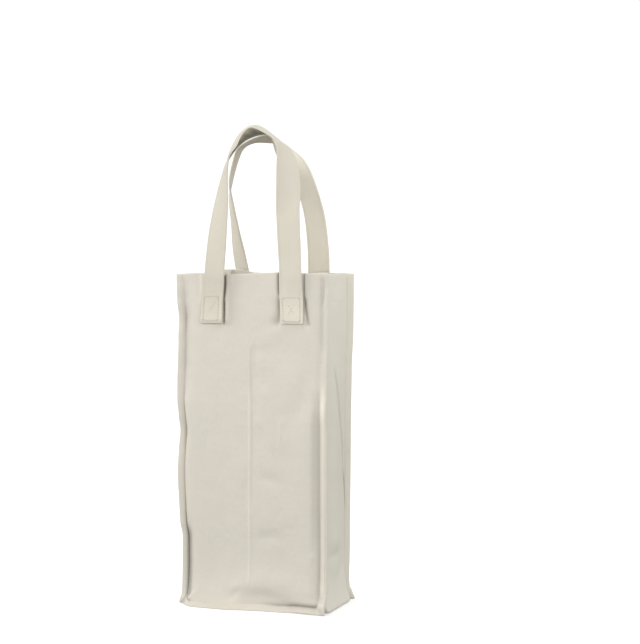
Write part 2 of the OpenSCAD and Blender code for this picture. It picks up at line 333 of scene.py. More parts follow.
def thread_material(name, base, dark, second=None):
    """Spun thread: u runs along each stitch and v round it, both in mm."""
    m, t, bsdf = nodes_of(name)
    q = Maths(t)
    uv = t.nodes.new("ShaderNodeUVMap")
    uv.uv_map = "cloth"
    sep = t.nodes.new("ShaderNodeSeparateXYZ")
    t.links.new(uv.outputs[0], sep.inputs[0])
    turn = q.op("SINE", q.op("ADD", q.op("MULTIPLY", sep.outputs[0], 9.0), q.op("MULTIPLY", sep.outputs[1], 3.6)))
    lay = q.span(turn, -1.0, 1.0, 0.0, 1.0)
    fuzz = q.noise(q.stretch(uv.outputs[0], 3.0, 3.0), 1.0, 2.0)
    tone = q.mix(q.op("MULTIPLY", lay, 0.8), dark, base)
    if second:
        # stitches whose u starts beyond 50 are of a second, paler thread
        tone = q.mix(q.op("GREATER_THAN", sep.outputs[0], 50.0), tone, q.mix(q.op("MULTIPLY", lay, 0.8), second[1], second[0]))
    tone = q.mix(q.span(fuzz, 0.4, 0.7, 0.0, 0.3), tone, tuple(c * 0.85 for c in base))
    t.links.new(tone, bsdf.inputs["Base Color"])
    bsdf.inputs["Roughness"].default_value = 0.75
    bsdf.inputs["Specular IOR Level"].default_value = 0.25
    bsdf.inputs["Sheen Weight"].default_value = 0.2
    bump = t.nodes.new("ShaderNodeBump")
    bump.inputs["Strength"].default_value = 0.8
    bump.inputs["Distance"].default_value = 0.00012
    q.put(bump.inputs["Height"], lay)
    t.links.new(bump.outputs[0], bsdf.inputs["Normal"])
    return m


# painted light: the panels and the side strip are painted lighter towards the mouth, and the back strap lighter than
# the front
BODY = canvas("canvas_body", (0.705, 0.655, 0.578), (0.690, 0.655, 0.570), (0.672, 0.640, 0.560), seed=1.0,
              painted_light_gain=(1, 0.0, 100.0, 330.0, 0.965, 1.03))
SIDE = canvas("canvas_side", (0.680, 0.660, 0.570), (0.690, 0.655, 0.570), (0.655, 0.640, 0.548), seed=41.0,
              painted_light_gain=(1, 1330.0, 240.0, 430.0, 0.965, 1.13))
INNER = canvas("canvas_inner", (0.640, 0.600, 0.515), (0.655, 0.600, 0.505), (0.600, 0.565, 0.485), seed=77.0)
STRAP = canvas("canvas_strap", (0.705, 0.660, 0.560), (0.700, 0.662, 0.566), (0.680, 0.640, 0.545),
               slub=0.9, seed=113.0, painted_light_gain=(0, 0.0, 100.0, 500.0, 0.935, 1.05))
THREAD = thread_material("cotton_thread", (0.80, 0.755, 0.67), (0.66, 0.615, 0.53))
# painted shade: the box thread is darker than the cloth, standing for the shade along its stitched-down lines
BOX_THREAD = thread_material("cotton_thread_box", (0.56, 0.515, 0.43), (0.43, 0.39, 0.32),
                             ((0.70, 0.655, 0.565), (0.60, 0.56, 0.475)))


# ---------------------------------------------------------------- meshes
def make_mesh(name, verts, faces, uv, material, tone=None):
    mesh = bpy.data.meshes.new(name)
    mesh.from_pydata((np.asarray(verts) * MM).tolist(), [], faces)
    layer = mesh.uv_layers.new(name="cloth")
    idx = np.zeros(len(mesh.loops), np.int32)
    mesh.loops.foreach_get("vertex_index", idx)
    layer.data.foreach_set("uv", np.asarray(uv, np.float32)[idx].ravel())
    mesh.polygons.foreach_set("use_smooth", np.ones(len(mesh.polygons), bool))
    mesh.materials.append(material)
    # tone: painted light and shade per point, kept as the mesh's tone attribute
    if tone is not None:
        mesh.attributes.new("tone", "FLOAT", "POINT").data.foreach_set("value", np.asarray(tone, np.float32).ravel())
    mesh.update()
    obj = bpy.data.objects.new(name, mesh)
    scene.collection.objects.link(obj)
    return obj


def grid_normals(P):
    du, dv = np.gradient(P, axis=1), np.gradient(P, axis=0)
    N = np.cross(du, dv)
    return N / (np.linalg.norm(N, axis=2, keepdims=True) + 1e-12)


class Cloth:
    """A sheet on a grid: a runs along axis 1 and b along axis 0, P is its middle surface in mm."""

    def __init__(self, a, b, P, thick, out=1.0):
        self.a, self.b, self.P = np.asarray(a, float), np.asarray(b, float), P
        self.T = np.broadcast_to(thick, P.shape[:2]).astype(float)
        self.out = out
        self.N = grid_normals(P) * out

    def at(self, a, b, side=1.0):
        """Point and normal on the sheet's outer face (side 1) or inner face (side -1)."""
        a, b = np.asarray(a, float), np.asarray(b, float)
        fa = np.interp(a, self.a, np.arange(len(self.a)))
        fb = np.interp(b, self.b, np.arange(len(self.b)))
        i = np.clip(np.floor(fb).astype(int), 0, len(self.b) - 2)
        j = np.clip(np.floor(fa).astype(int), 0, len(self.a) - 2)
        s, t = (fb - i)[:, None], (fa - j)[:, None]

        def mixed(G):
            return ((G[i, j] * (1 - t) + G[i, j + 1] * t) * (1 - s)
                    + (G[i + 1, j] * (1 - t) + G[i + 1, j + 1] * t) * s)

        N = mixed(self.N)
        N /= np.linalg.norm(N, axis=1, keepdims=True) + 1e-12
        return mixed(self.P) + N * side * mixed(self.T[..., None]) / 2, N * side

    def build(self, name, uv, material, floor=True, tone=None):
        P, N, T = self.P, self.N, self.T[..., None] / 2
        n, m = P.shape[:2]
        tag = np.arange(n * m).reshape(n, m)
        loop = ([(0, j) for j in range(m - 1)] + [(i, m - 1) for i in range(n - 1)]
                + [(n - 1, j) for j in range(m - 1, 0, -1)] + [(i, 0) for i in range(n - 1, 0, -1)])
        I, J = np.array([p[0] for p in loop]), np.array([p[1] for p in loop])
        Ii, Ji = np.clip(I, 1, n - 2), np.clip(J, 1, m - 2)
        out = P[I, J] - P[Ii, Ji]
        Nb = N[I, J]
        out -= (out * Nb).sum(1)[:, None] * Nb
        out /= np.linalg.norm(out, axis=1, keepdims=True) + 1e-9
        top, low = (P + N * T).reshape(-1, 3), (P - N * T).reshape(-1, 3)
        rims = [P[I, J] + T[I, J] * (out * math.cos(f) + Nb * math.sin(f))
                for f in (math.radians(45), 0.0, math.radians(-45))]
        verts = np.concatenate([top, low] + rims)
        flat = uv.reshape(-1, 2)
        uvs = np.concatenate([flat, flat] + [uv[I, J]] * 3)
        quads = np.stack([tag[:-1, :-1], tag[:-1, 1:], tag[1:, 1:], tag[1:, :-1]], -1).reshape(-1, 4)
        if self.out < 0:
            quads = quads[:, ::-1]
        faces = quads.tolist() + (quads[:, ::-1] + n * m).tolist()
        L = len(loop)
        edge = tag[I, J]
        rows = [edge] + [2 * n * m + k * L + np.arange(L) for k in range(3)] + [edge + n * m]
        for r0, r1 in zip(rows[:-1], rows[1:]):
            q = np.stack([r0, r1, np.roll(r1, -1), np.roll(r0, -1)], -1)
            if self.out < 0:
                q = q[:, ::-1]
            faces += q.tolist()
        if floor:
            verts[:, 2] = np.maximum(verts[:, 2], 0.05)
        tones = None if tone is None else np.concatenate([tone.ravel(), tone.ravel()] + [tone[I, J]] * 3)
        return make_mesh(name, verts, faces, uvs, material, tones)


# ---------------------------------------------------------------- stitches
def stitch_mesh(name, runs, material=THREAD, long=2.7, step=3.3, wide=0.62, high=0.5):
    """runs: list of (points, normals) along rows on a face; one bent little thread per stitch."""
    sec, cuts = 6, np.linspace(-1, 1, 6)
    ang = np.arange(sec) * 2 * np.pi / sec
    V, F, U = [], [], []
    count = 0
    rng = np.random.RandomState(5)
    for run in runs:
        P, N = run[:2]
        tag = run[2] if len(run) > 2 else 0.0
        d = np.linalg.norm(np.diff(P, axis=0), axis=1)
        s = np.concatenate([[0], np.cumsum(d)])
        n = max(1, int(round(s[-1] / step)))
        mids = (np.arange(n) + 0.5) * s[-1] / n
        half = 0.5 * long * min(1.0, s[-1] / n / step)
        for c in mids:
            jitter = rng.uniform(-0.12, 0.12)
            st = np.clip(c + half * cuts, 0, s[-1])
            pts = np.stack([np.interp(st, s, P[:, k]) for k in range(3)], -1)
            nn = np.array([np.interp(c, s, N[:, k]) for k in range(3)])
            nn /= np.linalg.norm(nn)
            tt = pts[-1] - pts[0]
            if np.linalg.norm(tt) < 1e-6:
                continue
            tt /= np.linalg.norm(tt)
            bb = np.cross(nn, tt)
            taper = np.sqrt(np.maximum(0, 1 - np.abs(cuts) ** 3.2)) * 0.85 + 0.15
            lift = 0.16 * (1 - cuts ** 2) - 0.14 * np.abs(cuts) ** 3
            lean = jitter * cuts
            for k in range(len(cuts)):
                ring = (pts[k] + nn * lift[k] + bb * lean[k]
                        + taper[k] * (wide / 2 * np.cos(ang)[:, None] * bb + high / 2 * np.sin(ang)[:, None] * nn))
                V.append(ring)
                U.append(np.stack([np.full(sec, tag + half * cuts[k]), ang * wide / 2], -1))
            for k in range(len(cuts) - 1):
                for a in range(sec):
                    b = (a + 1) % sec
                    F.append([count + k * sec + a, count + k * sec + b, count + (k + 1) * sec + b, count + (k + 1) * sec + a])
            F.append([count + a for a in range(sec)][::-1])
            F.append([count + (len(cuts) - 1) * sec + a for a in range(sec)])
            count += sec * len(cuts)
    return make_mesh(name, np.concatenate(V), F, np.concatenate(U), material)


# ---------------------------------------------------------------- seam outline of a wide panel
def outline(X, Z):
    """Distance outside the seam line in the flat panel, and the direction away from it."""
    qx, qz = np.abs(X) - (A - BEND), (SEAM_Z + BEND) - Z
    mx, mz = np.maximum(qx, 0), np.maximum(qz, 0)
    L = np.hypot(mx, mz)
    d = L + np.minimum(np.maximum(qx, qz), 0) - BEND
    inside = L < 1e-6
    Ls = np.where(inside, 1, L)
    nx = np.where(inside, (qx > qz) * 1.0, mx / Ls) * np.sign(X)
    nz = -np.where(inside, (qx <= qz) * 1.0, mz / Ls)
    return d, nx, nz


# Shape of each wide panel. Knots run along the height (left and right edges) or across (bottom).
# turn: degrees the raised seam turns outwards; inset: mm the seam moves in; puff: mm the panel
# stands above the seam; soft: mm over which it rises.
FRONT = dict(
    turn_l=[(0, 22), (6, 60), (12, 70), (76, 70), (98, 56), (125, 48), (165, 48), (188, 40), (205, 46), (235, 46),
            (310, 52), (334, 32), (356, 14)],
    curl_l=[(0, 4), (14, 8), (78, 6), (100, 6), (230, 8), (310, 8), (356, 4)],
    turn_r=[(0, 12), (12, 15), (60, 17), (200, 17), (240, 10), (290, 4), (340, -2), (356, -8)],
    curl_r=[(0, 6), (60, 9), (200, 9), (240, 5), (290, 0), (356, -8)],
    turn_b=[(-86, 14), (-79, 50), (-70, 74), (-30, 78), (-5, 62), (10, 52), (30, 58), (40, 52), (52, 38), (74, 34),
            (83, 16)],
    inset_l=[(0, -1.2), (8, -0.4), (15, 0.2), (70, 0.3), (90, -1.6), (112, -2.1), (144, -3.0), (166, -2.2), (188, -0.9),
             (204, -2.2), (220, -3.2), (242, -3.0), (264, -2.3), (282, -1.9), (307, -2.0), (330, -2.9), (356, -2.8)],
    inset_r=[(0, 0.5), (14, 1.6), (30, 2.2), (200, 2.4), (240, 0.8), (290, 0.2), (356, -0.3)],
    seam_l=[(0, 4), (7, 6.2), (16, 6.8), (74, 6.8), (90, 5.0), (104, 4.2), (130, 3.4), (150, 3.2), (188, 5.6),
            (206, 4.2), (222, 3.0), (245, 3.0), (262, 3.4), (288, 3.2), (308, 5.2), (328, 3.2), (345, 1.6), (356, 0.6)],
    seam_r=[(0, 1.0), (10, 0.6), (14, 2.0), (22, 4.6), (60, 5.4), (190, 5.0), (215, 3.0), (238, 1.4), (285, 1.8), (318, 1.9),
            (340, 1.6), (356, 0.5)],
    seam_b=[(-86, 5.0), (-77, 4.6), (-72, 2.2), (-67, 0.2), (-25, 0.0), (0, 1.8), (34, 4.4), (50, 5.8), (75, 5.8), (80, 2.8),
            (84, 1.0)],
    puff_l=[(0, 0.6), (12, 2.0), (26, 3.4), (72, 3.5), (105, 2.8), (205, 2.6), (240, 1.4), (290, 1.0), (330, 0.6),
            (356, 0.1)],
    puff_c=[(0, 0.4), (30, 1.4), (120, 1.8), (220, 1.2), (290, 0.5), (356, 0.0)],
    puff_r=[(0, 0.2), (15, 1.0), (26, 2.6), (60, 3.0), (120, 3.0), (200, 2.6), (232, 0.6), (290, 0.2), (330, 0.4),
            (356, 0.2)],
    soft_l=[(0, 4), (20, 6.2), (75, 6.0), (100, 3.4), (190, 3.0), (215, 2.4), (250, 6.0), (305, 6.4), (340, 7), (356, 4)],
    soft_r=[(0, 3), (24, 2.6), (190, 2.8), (235, 6), (290, 5), (318, 4), (356, 3)],
    soft_b=[(-86, 3), (-30, 4), (-8, 7), (38, 5), (50, 2.6), (80, 2)],
    push=[(-86, 2.5), (-74, 6.0), (-60, 7.4), (-25, 7.0), (0, 4.2), (20, 3.0), (45, 3.6), (68, 6.4), (84, 4.6)],
    belly=[(-86, 0), (-60, 0.2), (-25, 0.8), (0, 2.2), (30, 2.0), (60, 1.0), (84, 0)],
    rim=[(-86, 0.4), (-62, 1.2), (-46, 1.0), (-29, -0.9), (-8, 0.2), (12, 1.0), (30, 1.5), (46, 1.0), (62, 0.5), (86, 0.8)],
    seed=11,
)
BACK = dict(
    turn_l=[(0, 22), (25, 30), (100, 36), (220, 26), (356, 22)],
    turn_r=[(0, 38), (6, 60), (13, 74), (26, 76), (60, 66), (180, 62), (290, 50), (356, 30)],
    turn_b=[(-86, 14), (-60, 44), (-20, 50), (30, 40), (60, 48), (86, 16)],
    inset_l=[(0, 0), (60, 1.0), (150, 0.2), (356, 0.2)],
    inset_r=[(0, -3.4), (4, -1.6), (9, 1.0), (15, 2.4), (34, 2.2), (60, 2.0), (200, 1.5), (250, 1.1), (300, -0.5),
             (356, -0.2)],
    seam_l=[(0, 0), (40, 1.2), (200, 1.0), (300, 0.4), (356, 0.1)],
    seam_r=[(0, 0), (30, 1.0), (220, 1.0), (300, 0.5), (356, 0.2)],
    seam_b=[(-86, 0), (-30, 1.2), (20, 0.6), (60, 1.2), (86, 0)],
    puff_l=[(0, 0.5), (30, 2.4), (150, 2.0), (230, 0.6), (356, 0.2)],
    puff_c=[(0, 0.4), (40, 1.5), (140, 2.2), (240, 1.2), (356, 0.0)],
    puff_r=[(0, 0.4), (30, 2.2), (120, 2.6), (250, 1.2), (356, 0.3)],
    soft_l=[(0, 3), (180, 2.6), (260, 6), (356, 4)],
    soft_r=[(0, 3), (30, 2.6), (356, 3)],
    soft_b=[(-86, 3), (-30, 7), (10, 4), (60, 3), (86, 3)],
    push=[(-86, 0.5), (-60, 3.0), (-20, 2.0), (30, 4.0), (60, 3.0), (86, 0.5)],
    belly=[(-86, 0), (-30, 1.6), (30, 1.2), (86, 0)],
    curl_l=[(0, 14), (100, 20), (356, 14)],
    curl_r=[(0, 40), (26, 60), (60, 54), (290, 40), (356, 20)],
    rim=[(-86, 1.5), (-66, 5.6), (-48, 5.4), (-30, 2.0), (0, 0.2), (30, 0.4), (50, 1.8), (70, 1.4), (86, 0.8)],
    seed=29,
)


def strap_seat(X, Z, side):
    """How far the panel stands out under the sewn strap ends, and 1 there (0 away from them)."""
    up = smooth((Z - 296) / 10)
    out = np.zeros(np.shape(X))
    hold = np.zeros(np.shape(X))
    # middle, half width, height at left and right, where the raised part stops beyond each edge
    if side < 0:
        ends = ((-45.4, 13.7, 0.3, 1.2, 1.6, -0.9), (46.7, 13.2, 0.9, 0.9, -0.8, -0.8))
    else:
        ends = ((-44.0, 13.0, 0.4, 0.4, 1.0, 1.0), (46.0, 13.0, 0.4, 0.4, 1.0, 1.0))
    for c, w, lo, hi, far_l, far_r in ends:
        t = np.clip((X - c + w) / (2 * w), 0, 1)
        room = w + np.where(X < c, far_l, far_r) - np.abs(X - c)
        out = out + up * smooth(room / 2.4) * (lo + (hi - lo) * t)
        hold = np.maximum(hold, up * smooth(room / 2.8))
    return out, hold


def folds(X, Z, side):
    """Creases and dents of one wide panel, in mm outwards."""
    h = 0 * X
    if side < 0:
        # beside the sewn strap ends
        pinch = 1 - 0.75 * np.exp(-((Z - 331) / 2.6) ** 2)
        h += pinch * slot(X, Z, [(-31.8, 372), (-32.2, 345), (-33.5, 331), (-33.3, 318), (-33.8, 301)], -4.6, 1.35, 1.9, 0.08)
        h += pinch * slot(X, Z, [(30.9, 372), (31.2, 345), (31.9, 330)], -3.0, 1.6, 1.8, 0.12)
        h += slot(X, Z, [(32.6, 333), (32.2, 316), (30.6, 299)], -3.0, 1.6, 3.8, 0.20)
        h += spot(X, Z, 26.8, 303.5, 4.6, 6.0, -1.5, 30)
        h += slot(X, Z, [(59.0, 372), (59.2, 345), (59.6, 330)], -1.5, 1.0, 1.4, 0.12)
        h += slot(X, Z, [(59.5, 335), (60.3, 321), (62.4, 309), (64.6, 298)], -2.8, 2.4, 2.6, 0.22)
        h += crease(X, Z, [(-62.5, 372), (-61, 350), (-60.5, 326)], -0.9, 3.0, 0.2)
        h += crease(X, Z, [(-68, 345), (-70, 325), (-66, 300)], 0.4, 4.0, 0.3)
        # soft lobe right of the divider seam
        h += crease(X, Z, [(66, 318), (44, 303), (26, 296), (12, 288), (2, 281)], 0.6, 9.0, 0.2)
        h += cliff(X, Z, [(1.2, 284), (3, 272), (3.6, 258), (6.5, 246), (12, 236), (20, 232)], -0.9, 1.2, 9, 0.2)
        h += crease(X, Z, [(8, 276), (11, 262), (15, 250)], 0.7, 5.0, 0.35)
        h += spot(X, Z, 42, 268, 22, 24, -0.9, 15)
        h += spot(X, Z, 62, 236, 10, 26, -1.2, -8)
        # short creases lower down
        h += cliff(X, Z, [(31.7, 212), (31.9, 190), (31.5, 166)], 0.9, 0.7, 8, 0.3)
        h += cliff(X, Z, [(-12.5, 136), (-10.0, 122), (-8.4, 102)], -0.8, 1.2, 8, 0.3)
        h += spot(X, Z, 8.5, 199, 5, 6, 0.8)
        h += spot(X, Z, 20, 139, 14, 6.0, -1.0, -12)
        h += spot(X, Z, 22, 154, 17, 9, 0.4, -12)
        h += spot(X, Z, 20, 78, 14, 5.5, -1.1, 3)
        h += spot(X, Z, 22, 92, 18, 9.0, 0.4, 3)
        h += crease(X, Z, [(33, 88), (44, 89), (56, 87)], -0.5, 1.6, 0.3)
        h += spot(X, Z, -22, 19, 7.5, 5.5, -2.0, 35)
        h += crease(X, Z, [(-30, 12), (-20, 26), (-8, 31)], 0.8, 3.8, 0.3)
        h += spot(X, Z, 14, 18, 22, 7.0, -2.3)
        h += spot(X, Z, 16, 36, 30, 9.0, 0.5)
        # the panel laps the right seam at one place
        h += spot(X, Z, 73.5, 60, 3.8, 3.2, 1.4)
        # divider seam: a low ridge, the cloth beside it lower on the right
        near = smooth((Z - 26) / 6) * smooth((284 - Z) / 6)
        h += near * 0.42 * np.exp(-((X - DIV_SEAM) / 1.1) ** 2)
        low = ease(Z, [(30, 0.25), (150, 0.5), (172, 1.3), (235, 0.8), (284, 0.3)])
        h += near * -low * smooth((X - DIV_SEAM - 0.2) / 2.2) * np.exp(-np.maximum(X - DIV_SEAM - 2, 0) / 7.0)
    else:
        h += crease(X, Z, [(-59.5, 372), (-60.5, 330), (-66, 296)], -1.8, 2.8, 0.15)
        h += crease(X, Z, [(-29.0, 372), (-28.5, 330), (-22, 296)], -2.0, 2.6, 0.15)
        h += crease(X, Z, [(30.8, 372), (30.5, 328), (24, 300)], -1.8, 2.6, 0.15)
        h += crease(X, Z, [(61.5, 372), (62, 330), (67, 298)], -2.0, 2.6, 0.15)
        h += cliff(X, Z, [(6, 262), (20, 240), (42, 224), (60, 220)], -0.8, 2.0, 14, 0.3)
        h += cliff(X, Z, [(-60, 190), (-44, 206), (-22, 212), (-8, 228)], 0.8, 2.0, 14, 0.3)
        h += spot(X, Z, -38, 120, 24, 9, -1.1, 15)
        h += spot(X, Z, 30, 76, 20, 7, -1.2, -10)
        h += crease(X, Z, [(-58, 60), (-36, 46), (-14, 44)], 0.9, 5.0, 0.3)
        h += crease(X, Z, [(20, 160), (38, 150), (62, 158)], 0.8, 5.5, 0.3)
        h += spot(X, Z, -20, 18, 24, 7, -1.8)
        near = smooth((Z - 26) / 6) * smooth((284 - Z) / 6)
        h += near * (-0.6 * np.exp(-((X - DIV_SEAM) / 1.3) ** 2) - 0.7 * np.exp(-((X - DIV_SEAM) / 6.0) ** 2))
    return h


def front_painted_light_shade(X, Z):
    """Painted light and shade of the front panel: darker down in the seams' valleys and pinches and beside the strap
    ends, lighter on the right seam's shoulder, beside the lifted strap margin and along the divider seam's ridge.
    """
    d, _, nz = outline(X, Z)
    down = nz ** 2
    Zc = np.clip(Z, 0, 356)

    def valley_shade(e, amp, inner, outer):
        return amp * np.exp(-(e / np.where(e < 0, inner, outer)) ** 2)

    # painted shade down in the valleys beside the left, right and bottom seams
    t = -1.0 * (X < 0) * (1 - down) * valley_shade(
        d, ease(Zc, [(0, 0.20), (6, 0.26), (14, 0.22), (30, 0.22), (72, 0.28), (92, 0.08), (112, 0.03), (165, 0.04), (178, 0.14),
                  (188, 0.22), (200, 0.10), (214, 0.03), (240, 0.05), (262, 0.12), (285, 0.12), (298, 0.20), (310, 0.22),
                  (324, 0.14), (340, 0.07), (356, 0.0)]),
        ease(Zc, [(0, 5.0), (10, 7.0), (74, 7.0), (95, 3.0), (215, 2.4), (250, 5.0), (345, 5.5), (356, 3)]), 3.6)
    t -= (X < 0) * (1 - down) * valley_shade(d + 4.4, ease(Zc, [(6, 0.12), (16, 0.28), (32, 0.33), (72, 0.31), (92, 0.04), (104, 0.0)]), 3.2, 2.8)
    t += crease(X, Z, [(-78.5, 14), (-79.5, 9), (-82.5, 3.5), (-85, 1.0)], -0.15, 2.4, 0.2)
    t -= (X > 0) * (1 - down) * valley_shade(
        d - ease(Zc, [(240, 0), (285, 1.8), (356, 1.8)]), ease(Zc, [(0, 0.0), (12, 0.06), (18, 0.18), (60, 0.15), (190, 0.13), (215, 0.07), (240, 0.03), (270, 0.08), (292, 0.17),
                  (318, 0.17), (338, 0.21), (350, 0.12), (356, 0.05)]),
        ease(Zc, [(0, 2.2), (210, 2.2), (270, 2.8), (356, 2.6)]),
        ease(Zc, [(230, 1.3), (280, 1.9), (356, 1.9)]))
    t -= (X > 0) * (1 - down) * valley_shade(d + 4.0, ease(Zc, [(60, 0.02), (90, 0.10), (115, 0.14), (205, 0.15), (222, 0.05), (236, 0)]), 4.5, 3.2)
    t -= down * valley_shade(
        d, ease(X, [(-86, 0.20), (-77, 0.34), (-72, 0.10), (-66, 0.0), (-10, 0.0), (10, 0.05), (34, 0.20), (50, 0.26), (72, 0.26),
                 (80, 0.10), (86, 0.0)]), 2.6, 1.3)
    # painted shade in the lower left corner and beside the right strap end
    t -= spot(X, Z, -79.5, 4.5, 3.0, 3.5, 0.25)
    t -= spot(X, Z, 28.4, 306, 4.4, 8.0, 0.10, 18) + spot(X, Z, 62.8, 309, 2.4, 8.0, 0.10, -12)
    # painted light on the shoulder beside the right seam
    t += 0.28 * (X > 0) * (1 - down) * smooth((d - 0.6) / 1.3) * (1 - 0.8 * smooth((d - 5.2) / 2.2)) \
        * smooth((Z - 16) / 10) * smooth((250 - Z) / 30)
    # painted light: the cloth beside the lifted margin of the left sewn end is made lighter
    t += 0.62 * np.exp(-((X + 31.6) / 3.6) ** 2) * smooth((Z - 303) / 8)
    # painted highlight along the divider seam's ridge
    t += 0.16 * np.exp(-((X - DIV_SEAM) / 0.9) ** 2) * smooth((Z - 28) / 6) * smooth((240 - Z) / 16)
    return t


def panel_point(X, Z, side, q):
    """Middle of the panel's cloth: flat X and Z to a point in mm. side is -1 front, 1 back."""
    d, nx, nz = outline(X, Z)
    down = nz ** 2
    left = X < 0
    Zc = np.clip(Z, 0, 356)

    def edge(name):
        lr = np.where(left, ease(Zc, q[name + "_l"]), ease(Zc, q[name + "_r"]))
        if name + "_b" not in q:
            return lr
        return lr * (1 - down) + ease(X, q[name + "_b"]) * down

    turn, curl = np.radians(edge("turn")), np.radians(edge("curl"))
    curl = curl * (1 - down) + turn * down
    s_in = np.where(left, ease(Zc, q["inset_l"]), ease(Zc, q["inset_r"])) * (1 - 0.6 * down)
    soft = edge("soft")
    seam = edge("seam")
    sd = q["seed"]
    # ripples where the stitching draws the cloth up
    along = np.where(down > 0.5, X, Z)
    pucker = noise(along, left * 50.0, 9, 9, sd + 1) * 0.35 + noise(along, left * 70.0, 17, 17, sd + 2) * 0.45
    # raised seam
    dp = np.maximum(d, 0)
    reach = np.minimum(dp, FIN) + 0.35 * np.maximum(dp - FIN, 0)
    wave = 0.055 * noise(along, left * 30.0 + 5, 26, 26, sd + 3) + 0.04 * noise(along, left * 20.0, 60, 60, sd + 4)
    # it leaves the seam at one angle and curls over to another
    fin_out, fin_in = 0 * dp, 0 * dp
    for k in range(12):
        f = (k + 0.5) / 12
        tilt = turn + (curl - turn) * smooth((dp * f - 1.2) / 4.0)
        fin_out = fin_out + reach / 12 * np.sin(tilt + wave)
        fin_in = fin_in + dp / 12 * (1 - np.cos(tilt))
    if side < 0:
        # crease on the right raised seam near the mouth
        fin_out = fin_out - crease(X, Z, [(78.6, 353), (81.5, 345), (81.0, 331), (79.5, 318)], 1.5, 1.3, 0.2) * smooth(dp / 0.8)
    # body of the panel
    pl, pc, pr = (ease(Zc, q["puff_" + k]) for k in "lcr")
    t = X / A
    mid = smooth((1 - np.abs(t)) / 0.55)
    puff = np.where(left, pl, pr) * (1 - mid) + pc * mid
    body = puff + folds(X, Z, side) + ease(X, q["belly"]) * np.exp(-((Z - 28) / 15) ** 2)
    body = body + smooth((-d - 2) / 25) * (0.65 * noise(X, Z, 46, 60, sd + 5) + 0.28 * noise(X, Z, 19, 27, sd + 6)
                                           + 0.09 * noise(X, Z, 8, 10, sd + 7))
    body = body + 0.16 * pucker * np.exp(-np.maximum(-d, 0) / 7)
    seat, hold = strap_seat(X, Z, side)
    body = body * (1 - hold) + seat
    rise = 1 - np.exp(-(np.maximum(-d, 0) / soft) ** 1.25)
    y_edge = B_HALF - seam + 0.68 + 0.22 * pucker
    y = np.where(d > 0, y_edge + fin_out, y_edge + (39.5 + body - y_edge) * rise)
    fall = np.exp(-np.maximum(-d - 1, 0) / 9)
    x = X - nx * fin_in - np.sign(X) * s_in * fall
    z = Z - nz * fin_in
    # the rim rises and falls a little
    z = z + ease(X, q["rim"]) * smooth((Z - 290) / 66)
    # near the floor the panel bellies out and its raised seam rests on the floor
    y = y + ease(X, q["push"]) * (np.clip((46 - Z) / 37, 0, 1) ** 2.2)
    under = down + (1 - down) * np.clip(Z / SEAM_Z, 0, 1)
    z = z - FIN * (1 - np.cos(np.radians(ease(np.clip(X, -76, 76), q["turn_b"])))) * smooth((70 - Z) / 62) \
        * np.where(d > 0, under, 1.0)
    if side > 0:
        z = z - 3.6 * (X > 70) * smooth((12 - Z) / 9) * smooth(dp / 4.5)
    z = np.maximum(z, 0.62)
    return np.stack([x, side * y, z], -1)


# ---------------------------------------------------------------- wide panels
seam_spots = [(s * 77.5, 7, 0.55) for s in (-1, 1)]
cols = spaced(-85.4, 85.4, 2.3, seam_spots + [(-58, 2, 1.0), (-31, 5, 0.55), (31, 5, 0.6),
                                              (61.5, 5, 0.6), (-2, 4, 0.6)])
rows = spaced(-0.2, 356, 2.6, [(9, 7, 0.6), (356, 3, 1.2), (303, 3, 1.5), (20, 8, 1.6)])[::-1]


